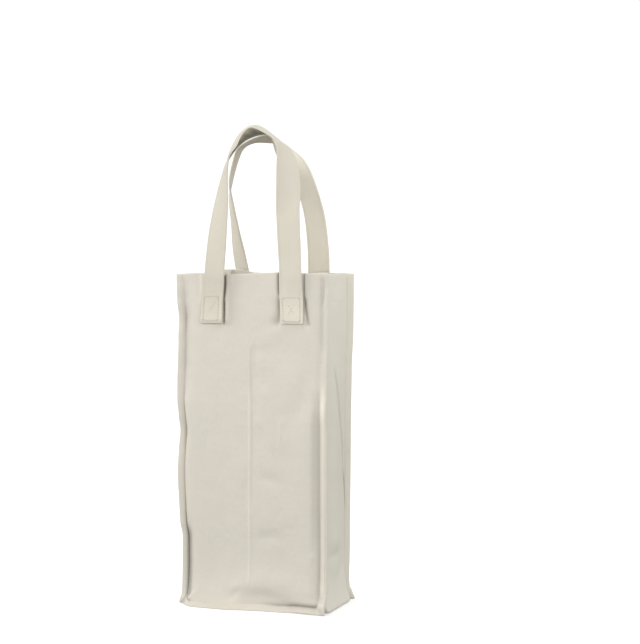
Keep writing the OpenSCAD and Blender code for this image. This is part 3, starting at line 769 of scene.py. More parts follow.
def panel_cloth(side, q):
    X, Z = np.meshgrid(cols, rows)
    # rounded outer corners of the raised seam
    cx, cz, r = 85.4 - 4, -0.2 + 4, 4.0
    ex, ez = np.maximum(np.abs(X) - cx, 0), np.maximum(cz - Z, 0)
    L = np.hypot(ex, ez)
    k = np.where(L > r, r / np.maximum(L, 1e-9), 1.0)
    k = np.where((ex > 0) & (ez > 0), np.minimum(k, 1), 1)
    X = np.where(ex > 0, np.sign(X) * (cx + ex * k), X)
    Z = np.where(ez > 0, cz - ez * k, Z)
    P = panel_point(X, Z, side, q)
    P = rounded(P, 1, 0.75, cols)
    P = rounded(P, 0, 0.75, -rows)
    d, _, _ = outline(X, Z)
    # hem turned to the inside at the mouth, shorter towards the corners
    drop = np.concatenate([[0.0], np.linspace(1.2, HEM, 13)])
    deep = smooth((A - 1.0 - np.abs(cols)) / 3.0)
    top = P[0]
    inner = []
    for f in np.radians((35, 75, 115, 150)):
        c = top.copy()
        c[:, 1] -= side * 0.62 * (1 - np.cos(f)) * (0.35 + 0.65 * deep)
        c[:, 2] += 0.62 * np.sin(f)
        inner.append(c)
    below = Cloth(cols, -rows, P, 1.0)
    for k_, dz in enumerate(drop):
        zz = np.maximum(356 - dz * (0.02 + 0.98 * deep), rows[-1])
        pt, _ = below.at(cols, -zz)
        pt = pt - (below.at(cols, -zz)[1] * 0.5)
        gap = 1.22 + 0.35 * noise(cols, np.full(cols.shape, dz), 30, 12, q["seed"] + 9) * smooth(dz / 12)
        pt[:, 1] -= side * np.where(deep > 0.02, gap, 0.5)
        inner.append(pt)
    H = np.array(inner[::-1])
    G = np.concatenate([H, P])
    uv = np.zeros(G.shape[:2] + (2,))
    n_in = len(inner)
    uv[..., 0] = cols[None, :] + side * 300
    vv = np.concatenate([-(356 + np.array([0.5, 1.0, 1.5, 1.9] + list(2 + drop)))[::-1], -rows])
    uv[..., 1] = vv[:, None]
    fin = smooth((d + 1) / 2.0)
    T = np.concatenate([np.full((n_in, len(cols)), 1.0), 1.0 + 0.28 * fin])
    edge_fin = smooth((np.abs(cols) - 77) / 1.5)
    T[:n_in] *= (1 - 0.5 * edge_fin)[None, :]
    cloth = Cloth(cols, np.arange(G.shape[0]), G, T, out=1.0)
    # outer normal points away from the bag
    mid = cloth.N[n_in + 60, len(cols) // 2]
    if mid[1] * side < 0:
        cloth = Cloth(cols, np.arange(G.shape[0]), G, T, out=-1.0)
    face = Cloth(cols, -rows, P, T[n_in:], out=cloth.out)
    tone = np.zeros(G.shape[:2])
    if side < 0:
        tone[n_in:] = front_painted_light_shade(X, Z)
    return cloth, face, uv, tone


front_cloth, front_face, front_uv, front_shade = panel_cloth(-1, FRONT)
back_cloth, back_face, back_uv, back_shade = panel_cloth(1, BACK)
front_panel = front_cloth.build("front_canvas", front_uv, BODY, tone=front_shade)
back_panel = back_cloth.build("back_canvas", back_uv, BODY, tone=back_shade)

# ---------------------------------------------------------------- gusset strip
# Along the strip: down the left side, round the bend, across the base, up the right side.
side_z = spaced(SEAM_Z + BEND, 356, 3.0, [(356, 3, 1.3), (25, 10, 1.8)])[::-1]
arc = np.linspace(0, np.pi / 2, 15)[1:-1]
base_x = spaced(-(A - BEND), A - BEND, 3.4, [])
S = ([(-A, z, -1, 0) for z in side_z]
     + [(-(A - BEND) - BEND * math.cos(f), SEAM_Z + BEND - BEND * math.sin(f), -math.cos(f), -math.sin(f)) for f in arc]
     + [(x, SEAM_Z, 0, -1) for x in base_x]
     + [((A - BEND) + BEND * math.cos(f), SEAM_Z + BEND - BEND * math.sin(f), math.cos(f), -math.sin(f)) for f in arc[::-1]]
     + [(A, z, 1, 0) for z in side_z[::-1]])
S = np.array(S, float)
along = np.concatenate([[0], np.cumsum(np.hypot(*np.diff(S[:, :2], axis=0).T))])
inner_q = spaced(-37.9, 37.9, 2.6, [(-37.9, 5, 0.7), (37.9, 5, 0.7)])
# finer beside the fold on the right side
inner_q = spaced(-37.9, 37.9, 2.2, [(-37.9, 5, 0.7), (37.9, 5, 0.7), (21, 18, 0.5)])
fin_d = np.array([0.5, 1.1, 1.8, 2.6, 3.5, 4.5, 5.5, 6.5, 7.3, 7.9])
q_line = np.concatenate([-(38.3 + fin_d[::-1]), inner_q, 38.3 + fin_d])


FOLD_LINE = [(60, 44), (111, 40), (130, 36), (160, 30.5), (188, 23), (215, 11), (232, 4), (243, 0), (256, -4), (290, -14)]


def fold_place(z):
    """Where the slanting crease of the right narrow side runs, as a smooth line."""
    k = np.array(FOLD_LINE, float)
    return sum(np.interp(z + o, k[:, 0], k[:, 1]) for o in (-18, -9, 0, 9, 18)) / 5


def side_fold(y, z, s):
    """Bulge and folds of the narrow sides, in mm outwards; s is -1 left, 1 right."""
    h = 0 * y
    if s > 0:
        # the front half stands over the back half along a slanting crease
        fold = fold_place(z)
        amp = np.interp(z, (84, 104, 130, 170, 215, 246, 272), (0, 0.5, 1.1, 1.2, 1.05, 0.8, 0))
        u = y - fold
        h += 3.4 * smooth((1 - np.abs(y + 4) / 36)) \
            * ease(z, [(0, 0.3), (30, 0.8), (110, 1.0), (230, 0.75), (300, 0.3), (356, 0.1)])
        h += amp * (0.35 * np.exp(-np.maximum(-u, 0) / 9) - 2.6 * np.exp(-((u - 1.4) / np.where(u < 1.4, 1.2, 2.2)) ** 2)
                    + 0.8 * smooth((u - 2.0) / 4.0) * np.exp(-np.maximum(u - 6, 0) / 9))
        h += spot(y, z, -4, 56, 20, 6.5, -2.0, -4)
        h += spot(y, z, 4, 72, 22, 8, 1.0, -4)
        h += spot(y, z, -10, 34, 22, 8, 0.8)
        h += spot(y, z, -6, 150, 10, 26, 0.6)
        h += crease(y, z, [(10, 300), (2, 330), (4, 352)], -0.8, 7, 0.2)
    else:
        h += 2.6 * smooth((1 - np.abs(y) / 38)) * ease(z, [(0, 0.2), (40, 0.9), (140, 1.0), (240, 0.4), (300, 0.1), (356, 0.0)])
        h += cliff(y, z, [(-34, 250), (-18, 226), (2, 214), (22, 222), (36, 240)], -1.5, 2.4, 16, 0.25)
        h += spot(y, z, 6, 96, 18, 9, -1.4, 12)
        h += crease(y, z, [(-28, 60), (-8, 70), (16, 64), (32, 72)], 1.1, 5.5, 0.25)
        h += crease(y, z, [(0, 352), (3, 320), (-4, 286)], -2.2, 8, 0.2)
    h += 0.6 * noise(y, z, 30, 44, 61 + (s > 0)) + 0.2 * noise(y, z, 13, 19, 63 + (s > 0))
    return h


def flare(S):
    """Where the strip's middle runs near the floor: down to the floor, out a little, then under the bag."""
    wall = np.array([(78.6, 44), (79.0, 34), (80.0, 24), (82.0, 14), (84.6, 5.4), (85.9, 2.2), (85.4, 0.9), (82, 0.55),
                     (72, 0.5), (62, 0.5), (52, 0.5)], float)
    fine = np.stack([np.interp(np.linspace(0, 10, 400), np.arange(11), wall[:, k]) for k in (0, 1)], -1)
    k = np.exp(-0.5 * (np.arange(-24, 25) / 9.0) ** 2)
    pad = np.concatenate([np.repeat(fine[:1], 24, 0), fine, np.repeat(fine[-1:], 24, 0)])
    fine = np.stack([np.convolve(pad[:, c], k / k.sum(), "valid") for c in (0, 1)], -1)
    t = np.concatenate([[0], np.cumsum(np.linalg.norm(np.diff(fine, axis=0), axis=1))])
    t /= t[-1]
    x, z = np.abs(S[:, 0]), S[:, 1]
    lead = 44 - (SEAM_Z + BEND)
    run = np.where(x >= A - 1e-6, 44 - z, 0)
    bend = np.arctan2(SEAM_Z + BEND - z, x - (A - BEND))
    run = np.where((x < A - 1e-6) & (z > SEAM_Z + 1e-6), lead + BEND * bend, run)
    run = np.where(z <= SEAM_Z + 1e-6, lead + BEND * np.pi / 2 + (A - BEND) - x, run)
    full = lead + BEND * np.pi / 2 + (A - BEND) - 52
    u = np.clip(run / full, 0, 1)
    w = smooth(run / 14) * smooth((full - run) / 10)
    return np.interp(u, t, fine[:, 0]) * np.sign(S[:, 0]), np.interp(u, t, fine[:, 1]), w


def gusset_grid():
    n, m = len(S), len(q_line)
    P = np.zeros((n, m, 3))
    sx, sz, nx, nz = (S[:, k][:, None] for k in range(4))
    Q = q_line[None, :] * np.ones((n, 1))
    inside = np.abs(Q) <= 37.95
    # flange: between the seam line and the square outer edge of the panel's raised seam
    d = np.clip((np.abs(Q) - 38.3) / 8.0, 0, 1)
    cxn, czn = np.abs(nx), np.abs(nz)
    # ray from the middle of the corner bend to the square corner
    hx = np.where(cxn > 1e-6, (85.4 - (A - BEND)) / np.maximum(cxn, 1e-6), 1e9)
    hz = np.where(czn > 1e-6, (SEAM_Z + BEND + 0.2) / np.maximum(czn, 1e-6), 1e9)
    corner = (cxn > 1e-3) & (czn > 1e-3)
    reach = np.where(corner, np.minimum(hx, hz) - BEND, np.where(cxn > 0.5, 7.9, 9.2))
    reach = np.minimum(reach, 14.0)
    FX, FZ = sx + nx * d * reach, sz + nz * d * reach
    for side, q in ((-1, FRONT), (1, BACK)):
        pts = panel_point(FX, FZ + 0 * FX, side, q)
        # the strip's ply lies against the inside of the panel's ply
        ply = pts.copy()
        ply[..., 1] -= side * 1.36
        use = (np.sign(Q) == side) & ~inside
        P = np.where(use[..., None], ply, P)
    # wall and base between the seams
    s = np.where(S[:, 0] < 0, -1, 1)[:, None] * np.ones((1, m))
    wall = np.where(s > 0, side_fold(Q, sz + 0 * Q, 1.0), side_fold(Q, sz + 0 * Q, -1.0))
    upright = smooth((np.abs(nx) - 0.3) / 0.7) * np.ones((1, m))
    from_seam = smooth((38.3 - np.abs(Q)) / 9)
    out = 0.5 + wall * upright * from_seam * smooth((sz - 14) / 30)
    out = out + (1 - upright) * (0.35 * noise(sx + 0 * Q, Q, 34, 26, 71)) * from_seam
    edge_f = panel_point(sx + 0 * Q[:, :1], sz + 0 * Q[:, :1], -1, FRONT)
    edge_b = panel_point(sx + 0 * Q[:, :1], sz + 0 * Q[:, :1], 1, BACK)
    kf, kb = smooth(-Q / 38.3), smooth(Q / 38.3)
    X = sx + nx * out + kf * (edge_f[..., 0] - sx) + kb * (edge_b[..., 0] - sx)
    mid = smooth((38.6 - np.abs(Q)) / 12) * smooth((75 - sz) / 54) * (1 - np.abs(nx))
    Z = sz + nz * out + kf * (edge_f[..., 2] - sz) + kb * (edge_b[..., 2] - sz)
    Z = Z * (1 - mid) + 0.55 * mid
    fx, fz, fw = (v[:, None] for v in flare(S))
    fw = fw * smooth((38.4 - np.abs(Q)) / 9)
    X, Z = X * (1 - fw) + fx * fw, Z * (1 - fw) + fz * fw
    rim_l = ease(Q, [(-47, 0.0), (-38.3, 0.0), (-20, -0.5), (10, 0.4), (38.3, 0.0)])
    Z = Z + rim_l * smooth((sz - 290) / 66) * upright
    # draw the depth in or out so the wall meets the plies at the seams
    ys = Q.copy()
    yf, yb = edge_f[..., 1] + 1.36, edge_b[..., 1] - 1.36
    ys = np.where(Q < 0, Q * (-yf / 38.3), Q * (yb / 38.3))
    body = np.stack([X, ys, Z], -1)
    P = np.where(inside[..., None], body, P)
    P = rounded(P, 1, 0.7, q_line)
    P = rounded(P, 0, 1.2, along)
    return P


GP = gusset_grid()


def gusset_cloth():
    deep = smooth((37.5 - np.abs(q_line)) / 3.0)
    drop = np.concatenate([[0.0], np.linspace(1.2, HEM, 12)])
    parts, vs = [], []
    for end in (0, 1):
        s = -1 if end == 0 else 1
        line = np.arange(len(S)) if end == 0 else np.arange(len(S))[::-1]
        zs = S[line, 1]
        col = GP[line]
        rows_ = []
        for f in np.radians((35, 75, 115, 150)):
            c = col[0].copy()
            c[:, 0] -= s * 0.62 * (1 - np.cos(f)) * deep
            c[:, 2] += 0.62 * np.sin(f)
            rows_.append(c)
        upto = int(np.sum(zs[: len(zs) // 2] > 320)) + 2
        for dz in drop:
            zz = 356 - dz * (0.02 + 0.98 * deep)
            pt = np.stack([[np.interp(-zz[j], -zs[:upto], col[:upto, j, k]) for j in range(len(q_line))] for k in range(3)], -1)
            pt[:, 0] -= s * np.where(deep > 0.02, 1.2, 0.5)
            rows_.append(pt)
        parts.append(np.array(rows_[::-1]) if end == 0 else np.array(rows_))
    extra = np.array([0.5, 1.0, 1.5, 1.9] + list(2 + drop))
    G = np.concatenate([parts[0], GP, parts[1]])
    v = np.concatenate([-extra[::-1], along, along[-1] + extra])
    uv = np.zeros(G.shape[:2] + (2,))
    uv[..., 0] = q_line[None, :]
    uv[..., 1] = v[:, None] + 900
    n_in = len(extra)
    fin = smooth((np.abs(q_line) - 37.5) / 1.5)
    T = np.broadcast_to(1.0 + 0.28 * fin, G.shape[:2]).copy()
    T[:n_in] *= (1 - 0.5 * fin)
    T[-n_in:] *= (1 - 0.5 * fin)
    c = Cloth(q_line, np.arange(G.shape[0]), G, T)
    probe = c.N[n_in + 40, len(q_line) // 2]
    out = 1.0 if probe[0] < 0 else -1.0
    return Cloth(q_line, np.arange(G.shape[0]), G, T, out=out), Cloth(q_line, along, GP, T[n_in:-n_in], out=out), uv


gusset, gusset_face, gusset_uv = gusset_cloth()


def gusset_painted_shade():
    """Painted shade: the strip is darker down in the slanting crease of its right side and along the back seam below
    it.
    """
    t = np.zeros(gusset.P.shape[:2])
    extra = (gusset.P.shape[0] - len(S)) // 2
    z, Q = S[:, 1][:, None], q_line[None, :]
    right = (S[:, 0] > 70)[:, None]
    fold = fold_place(z)
    t[extra:extra + len(S)] = -1.0 * right * (
        ease(z, [(92, 0), (116, 0.26), (138, 0.56), (240, 0.60), (264, 0)]) * np.exp(-((Q - fold + 0.5) / 1.7) ** 2)
        + ease(z, [(44, 0), (70, 0.10), (140, 0.16), (172, 0.06), (190, 0)]) * np.exp(-((Q - 38.6) / 1.0) ** 2))
    return t


gusset_strip = gusset.build("gusset_canvas", gusset_uv, SIDE, tone=gusset_painted_shade())


# ---------------------------------------------------------------- divider
def divider_cloth():
    ys = spaced(-37.6, 37.6, 3.0, [(-37.6, 3, 0.8), (37.6, 3, 0.8)])
    fl = np.array([0.4, 1.2, 2.2, 3.4, 5.0, 6.6, 8.2, 9.4])
    q = np.concatenate([-(38 + fl[::-1]), ys, 38 + fl])
    z = spaced(DIV_LO, DIV_HI, 4.0, [(DIV_HI, 4, 1.5)])[::-1]
    Q, Z = np.meshgrid(q, z)
    hang = smooth((38 - np.abs(Q)) / 20)
    x = DIV_X + hang * (1.8 * noise(Q, Z, 40, 90, 81) + 0.7 * noise(Q, Z, 18, 40, 82)
                        + 1.2 * np.sin(Q / 38 * np.pi) * smooth((Z - 150) / 120))
    y = Q.copy()
    flange = np.abs(Q) > 38
    x = np.where(flange, DIV_X - (np.abs(Q) - 38), x)
    for side, face in ((-1, front_face), (1, back_face)):
        pts, _ = face.at(x.ravel(), -Z.ravel(), -1)
        yi = pts[:, 1].reshape(x.shape) - side * 0.52
        near = np.sign(Q) == side
        y = np.where(near & flange, yi, y)
        edge_pts, _ = face.at(np.full(len(z), DIV_X), -z, -1)
        lim = np.abs(edge_pts[:, 1])[:, None] - 0.6
        y = np.where(near & ~flange, Q * lim / 38, y)
    P = np.stack([x, y, Z], -1)
    P = rounded(P, 1, 0.6, q)
    drop = np.concatenate([[0.0], np.linspace(1.2, 12, 6)])
    keep = smooth((37.2 - np.abs(q)) / 2.5)
    rows_ = []
    for f in np.radians((35, 75, 115, 150)):
        c = P[0].copy()
        c[:, 0] += 0.6 * (1 - np.cos(f)) * keep
        c[:, 2] += 0.6 * np.sin(f)
        rows_.append(c)
    for dz in drop:
        zz = DIV_HI - dz * (0.02 + 0.98 * keep)
        pt = np.stack([[np.interp(-zz[j], -z, P[:, j, k]) for j in range(len(q))] for k in range(3)], -1)
        pt[:, 0] += np.where(keep > 0.02, 1.15, 0.5)
        rows_.append(pt)
    G = np.concatenate([np.array(rows_[::-1]), P])
    uv = np.zeros(G.shape[:2] + (2,))
    uv[..., 0] = q[None, :] + 600
    uv[..., 1] = np.concatenate([-(DIV_HI + np.array([0.5, 1.0, 1.5, 1.9] + list(2 + drop)))[::-1], -z])[:, None]
    c = Cloth(q, np.arange(G.shape[0]), G, 0.9)
    return c, Cloth(q, -z, P, 0.9), uv, len(rows_)


divider, divider_face, divider_uv, _ = divider_cloth()
divider_panel = divider.build("divider_canvas", divider_uv, INNER)

# ---------------------------------------------------------------- straps
FRONT_ROUTE = [
    [-45.9, 2.2, -27.5, 3, 0], [-45.3, 2.3, -17, 4, 0], [-44.7, 2.5, -8, 5, 0], [-44.0, 2.8, 1, 7, 0],
    [-42.8, 3.4, 12, 10, 0], [-41.2, 4.4, 28, 12, 0], [-40, 1, 59, 15, 0], [-39, -7, 97, 30, 1],
    [-39, -16, 129, 50, 7], [-37, -22, 150, 61, 12], [-28, -28, 170, 75, 20], [-16, -33, 180.5, 89, 25],
    [-2, -34, 181.4, 104, 23], [12, -32, 172.6, 106, 21], [28, -26, 156, 117, 19], [36, -15, 125, 149, 6],
    [39, -7, 93, 174, 0], [43, 0, 58, 180, 0], [45.6, 3, 28, 184, 0], [46.1, 2.6, 12, 183, 0],
    [46.3, 2.05, 1, 180, 0], [46.7, 2.05, -8, 180, 0], [47.0, 2.05, -20, 180, 0], [47.1, 2.05, -27.5, 180, 0]]
BACK_ROUTE = [
    [-44, 1.55, -27.5, 0, 0], [-44, 1.55, -18, 0, 0], [-44, 1.55, -8, 0, 0], [-44, 1.65, 0, 0, 0],
    [-47, 5.8, 11, 18, 0], [-50, 8.8, 25, 32, 0], [-54, 6.5, 51, 37, 0], [-56, 1, 78, 50, 1],
    [-58, -5, 107, 59, 2], [-56, -10, 128, 71, 2], [-49, -13, 151, 75, 0], [-41, -16, 164, 79, -5],
    [-27, -19, 170.6, 84, -2], [-10, -20, 172.8, 91, 11], [2, -20, 170.8, 104, 16], [13, -18, 157, 127, 8],
    [25, -15, 140, 158, 4], [36, -9, 115, 188, 2], [42, -3, 87, 188, 0], [44, 2, 53, 184, 0],
    [44, 3.5, 28, 181, 0], [45, 2.5, 12, 180, 0], [46, 1.65, 0, 180, 0], [46, 1.55, -8, 180, 0],
    [46, 1.55, -18, 180, 0], [46, 1.55, -27.5, 180, 0]]


def strap_rings(route, side, per=8):
    P = np.array(route, float)
    Q = np.vstack([2 * P[0] - P[1], P, 2 * P[-1] - P[-2]])
    out = []
    for i in range(1, len(Q) - 2):
        a, b, c, d = Q[i - 1], Q[i], Q[i + 1], Q[i + 2]
        for k in range(per):
            t = k / per
            out.append(0.5 * (2 * b + (c - a) * t + (2 * a - 5 * b + 4 * c - d) * t * t
                              + (3 * b - a - 3 * c + d) * t ** 3))
    out.append(P[-1])
    R = np.array(out)
    C = np.stack([R[:, 0], side * (FACE + R[:, 1]), FOLD + R[:, 2]], -1)
    step = np.concatenate([[0], np.cumsum(np.linalg.norm(np.diff(C, axis=0), axis=1))])
    even = np.linspace(0, step[-1], int(step[-1] / 2.2) + 1)
    R = np.stack([np.interp(even, step, R[:, k]) for k in range(5)], -1)
    C = np.stack([R[:, 0], side * (FACE + R[:, 1]), FOLD + R[:, 2]], -1)
    T = np.gradient(C, axis=0)
    T /= np.linalg.norm(T, axis=1, keepdims=True)
    th, ti = np.radians(R[:, 3]), np.radians(R[:, 4])
    w = np.stack([np.cos(th) * np.cos(ti), -np.sin(th) * np.cos(ti), np.sin(ti)], -1)
    lean = np.clip(R[:, 2] / 30, 0, 1)
    w -= (lean * (w * T).sum(1))[:, None] * T
    w /= np.linalg.norm(w, axis=1, keepdims=True)
    N = np.cross(w, T)
    N /= np.linalg.norm(N, axis=1, keepdims=True)
    return C, w, N, T, even, R


HALF_U = np.array([0, 2.5, 5, 7.3, 8.8, 9.6, 10.05, 10.5, 10.95, 11.5, 12.1, 12.55, 12.85, 13.0])


def strap_cloth(route, side, seed, wide, lift=0.0):
    """Folded strap with edge-stitched sides, swept along its route, both sewn ends included."""
    C, w, N, T, s, R = strap_rings(route, side)
    u = np.concatenate([-HALF_U[:0:-1], HALF_U])
    a = np.abs(u)
    round_edge = np.sqrt(np.clip(1 - np.clip((a - 11.9) / 1.1, 0, 1) ** 2, 0, 1))
    groove = 0.22 * np.exp(-((a - 10.5) / 0.45) ** 2)
    half = (1.0 + 0.10 * np.exp(-((a - 11.6) / 0.7) ** 2) - 0.08 * np.exp(-(a / 8) ** 2)) * round_edge - groove * (a < 11.9)
    half = np.maximum(half, 0.0)
    L = s[-1]
    k = wide(R[:, 2], R[:, 0])
    cup = 0.55 * noise(s, s * 0, 70, 70, seed) + 0.25 * noise(s, s * 0 + 9, 26, 26, seed + 1)
    free = smooth(R[:, 2] / 25)
    cup = cup * free
    sway = 0.35 * noise(s, s * 0 + 21, 48, 48, seed + 2) * free
    U, Sg = np.meshgrid(u, s)
    bend = cup[:, None] * ((U / 13) ** 2 - 0.33)
    rip = 0.12 * noise(Sg, U, 14, 9, seed + 3) * free[:, None]
    # the right margin of the left sewn end lifts off the panel
    rise = lift * smooth((U - 7.5) / 5.5) * (smooth((16 - R[:, 2]) / 22) * smooth(s / 3) * (s < s[-1] / 2))[:, None]
    # short wrinkles across the front strap where it turns over at the top
    if side < 0:
        where = smooth((R[:, 2] - 146) / 14) * smooth((10 - R[:, 0]) / 16) * smooth((R[:, 0] + 42) / 8)
        rip = rip + where[:, None] * smooth((6.5 - U) / 5.0) * smooth((U + 13) / 5.0) * (
            1.0 * np.sin(Sg / 10.5 * 2 * np.pi + 1.8 * noise(Sg, U, 22, 16, seed + 5)) + 0.6 * noise(Sg, U, 7, 12, seed + 6))
        # its near margin rolls over
        over = smooth((R[:, 2] - 148) / 18) * smooth((21 - R[:, 0]) / 26) * smooth((R[:, 0] + 42) / 8)
        rip = rip - 5.2 * over[:, None] * smooth((U - 6.0) / 7.0)
    mid = C[:, None, :] + (U * k[:, None] + sway[:, None])[..., None] * w[:, None, :] \
        + (bend + rip + rise)[..., None] * N[:, None, :]
    # soft thinning of the two ends
    end = np.minimum(s, L - s)
    cap = np.sqrt(np.clip(1 - (1 - np.clip(end / 1.1, 0, 1)) ** 2, 0.0, 1))
    fat = 1 + 0.18 * np.exp(-((end - 2.5) / 3.0) ** 2)
    H = half[None, :] * (cap * fat)[:, None]
    return dict(mid=mid, N=N, H=H, u=u, s=s, k=k, C=C, w=w, T=T, R=R)


def build_strap(name, g, shift, upper, under):
    n, m = g["mid"].shape[:2]
    Nn = g["N"][:, None, :]
    top, low = g["mid"] + g["H"][..., None] * Nn, g["mid"] - g["H"][..., None] * Nn
    ring = np.concatenate([top, low[:, -2:0:-1]], 1)
    cnt = ring.shape[1]
    uu = np.concatenate([g["u"], 26 - g["u"][-2:0:-1]])
    verts = ring.reshape(-1, 3)
    uv = np.stack(np.broadcast_arrays(uu[None, :] + shift, g["s"][:, None] + shift), -1).reshape(-1, 2)
    faces = []
    for i in range(n - 1):
        a, b = i * cnt, (i + 1) * cnt
        for j in range(cnt):
            k = (j + 1) % cnt
            faces.append([a + j, a + k, b + k, b + j])
    # close the ends with strips between the top and the bottom
    for e, flip in ((0, True), ((n - 1) * cnt, False)):
        for j in range(m - 1):
            lo0 = e + (cnt - j) % cnt if j else e
            lo1 = e + (cnt - j - 1)
            quad = [e + j, e + j + 1, lo1 if j + 1 < m - 1 else e + m - 1, lo0]
            quad = list(dict.fromkeys(quad))
            if len(quad) >= 3:
                faces.append(quad[::-1] if not flip else quad)
    tone = np.concatenate([np.broadcast_to(upper, (n, m)), np.broadcast_to(under, (n, m))[:, -2:0:-1]], 1)
    return make_mesh(name, verts, faces, uv, STRAP, tone)


def width_front(up, x):
    left = x < 0
    return np.where(left, ease(up, [(-30, 1.06), (0, 1.03), (30, 1.0), (200, 1.0)]),
                    ease(up, [(-30, 0.99), (0, 1.02), (40, 1.0), (200, 1.0)]))


def width_back(up, x):
    return 1.0 + 0 * up


front_g = strap_cloth(FRONT_ROUTE, -1, 201, width_front, lift=1.5)
back_g = strap_cloth(BACK_ROUTE, 1, 231, width_back)
# painted light and shade: the underside of the front strap's arch is painted darker towards one margin and lighter
# towards the other; the sewn ends are painted a little paler, as is the back strap's right half
_up, _x = front_g["R"][:, 2][:, None], front_g["R"][:, 0][:, None]
_end_painted_light = 0.10 * smooth((10 - _up) / 30) - 0.02 * smooth((_up - 10) / 60) * smooth((-20 - _x) / 20) \
    + 0.07 * smooth((60 - _up) / 50) * smooth((_x - 20) / 20)
_arch_painted_light_shade = smooth((_up - 140) / 20) * smooth((16 - _x) / 20) * smooth((_x + 44) / 10)
front_strap = build_strap("front_strap", front_g, 40, _end_painted_light, _end_painted_light + _arch_painted_light_shade * (0.50 * smooth((front_g["u"][None, :] + 3) / 9)
                                                                - 0.52 * smooth((7 - front_g["u"][None, :]) / 15)))
_back_painted_light = -0.04 + 0.15 * smooth((back_g["s"] - 140) / 130)[:, None]
back_strap = build_strap("back_strap", back_g, 540, _back_painted_light, _back_painted_light)


def strap_row(g, u, s, side):
    """Points and normals on one face of a strap at width u and length s."""
    fu = np.interp(u, g["u"], np.arange(len(g["u"])))
    fs = np.interp(s, g["s"], np.arange(len(g["s"])))
    i, j = np.clip(np.floor(fs).astype(int), 0, len(g["s"]) - 2), np.clip(np.floor(fu).astype(int), 0, len(g["u"]) - 2)
    a, b = (fs - i)[:, None], (fu - j)[:, None]

    def mixed(G):
        return (G[i, j] * (1 - b) + G[i, j + 1] * b) * (1 - a) + (G[i + 1, j] * (1 - b) + G[i + 1, j + 1] * b) * a

    N = g["N"][i] * (1 - a) + g["N"][i + 1] * a
    return mixed(g["mid"]) + side * mixed(g["H"][..., None]) * N, side * N


# ---------------------------------------------------------------- rows of stitches
def face_run(face, aa, bb, side=1.0, sink=0.0):
    P, N = face.at(aa, bb, side)
    return P - N * sink, N


def seam_rows(panel, side):
    runs = []
    z = np.arange(354.5, 15, -1.5)
    x = np.arange(-71, 71.1, 1.5)
    for s in (-1, 1):
        runs.append(face_run(panel, np.full(z.shape, s * (A + 1.9)), -z, sink=0.2))
        f = np.linspace(0.15, np.pi / 2 - 0.15, 12)
        runs.append(face_run(panel, s * ((A - BEND) + (BEND + 1.9) * np.cos(f)), -((SEAM_Z + BEND) - (BEND + 1.9) * np.sin(f)),
                             sink=0.2))
        # the other face of the raised seam, on the strip's ply
        v = np.arange(2, 330, 1.5) if s < 0 else np.arange(along[-1] - 330, along[-1] - 2, 1.5)
        runs.append(face_run(gusset_face, np.full(v.shape, side * (38.3 + 1.9)), v))
    runs.append(face_run(panel, x, np.full(x.shape, -(SEAM_Z - 1.9)), sink=0.2))
    return runs


front_seam = stitch_mesh("front_seam_thread", seam_rows(front_face, -1))
back_seam = stitch_mesh("back_seam_thread", seam_rows(back_face, 1))

zz = np.arange(DIV_LO + 2, DIV_HI - 1, 1.5)
front_div = stitch_mesh("divider_front_thread", [
    face_run(front_face, np.full(zz.shape, DIV_SEAM), -zz),
    face_run(divider_face, np.full(zz.shape, -(38 + 3.0)), -zz, 1.0)])
back_div = stitch_mesh("divider_back_thread", [
    face_run(back_face, np.full(zz.shape, DIV_SEAM), -zz),
    face_run(divider_face, np.full(zz.shape, 38 + 3.0), -zz, 1.0)])
yy = np.arange(-35, 35.1, 1.5)
hem_z = np.full(yy.shape, -(DIV_HI - 9.7))
p_a, n_a = divider_face.at(yy, hem_z, 1.0)
side_x = np.sign(n_a[:, 0])[:, None]
away, nn = divider_face.at(yy, hem_z, 1.0)
toward, nt = divider_face.at(yy, hem_z, -1.0)
runs = []
for P_, N_ in ((away, nn), (toward, nt)):
    plus = N_[:, :1] > 0
    runs.append((np.where(plus, P_ + np.array([1.15, 0, 0]), P_), N_))
divider_hem = stitch_mesh("divider_hem_thread", runs)


def mouth_rows():
    runs = []
    z = RIM - HEM + 2.3
    for face, ends in ((front_face, ((-44.3, 13.4), (46.4, 13.6))), (back_face, ((-44, 13.7), (46, 13.7)))):
        (l, lw), (r, rw) = ends
        for x0, x1 in ((-A + 2, l - lw), (l + lw, r - rw), (r + rw, A - 2)):
            x = np.arange(x0, x1, 1.2)
            runs.append(face_run(face, x, np.full(x.shape, -z), sink=0.27))
    y = np.arange(-35, 35.1, 1.2)
    for v in (356 - z, along[-1] - (356 - z)):
        runs.append(face_run(gusset_face, y, np.full(y.shape, v)))
    return runs


mouth = stitch_mesh("mouth_hem_thread", mouth_rows())


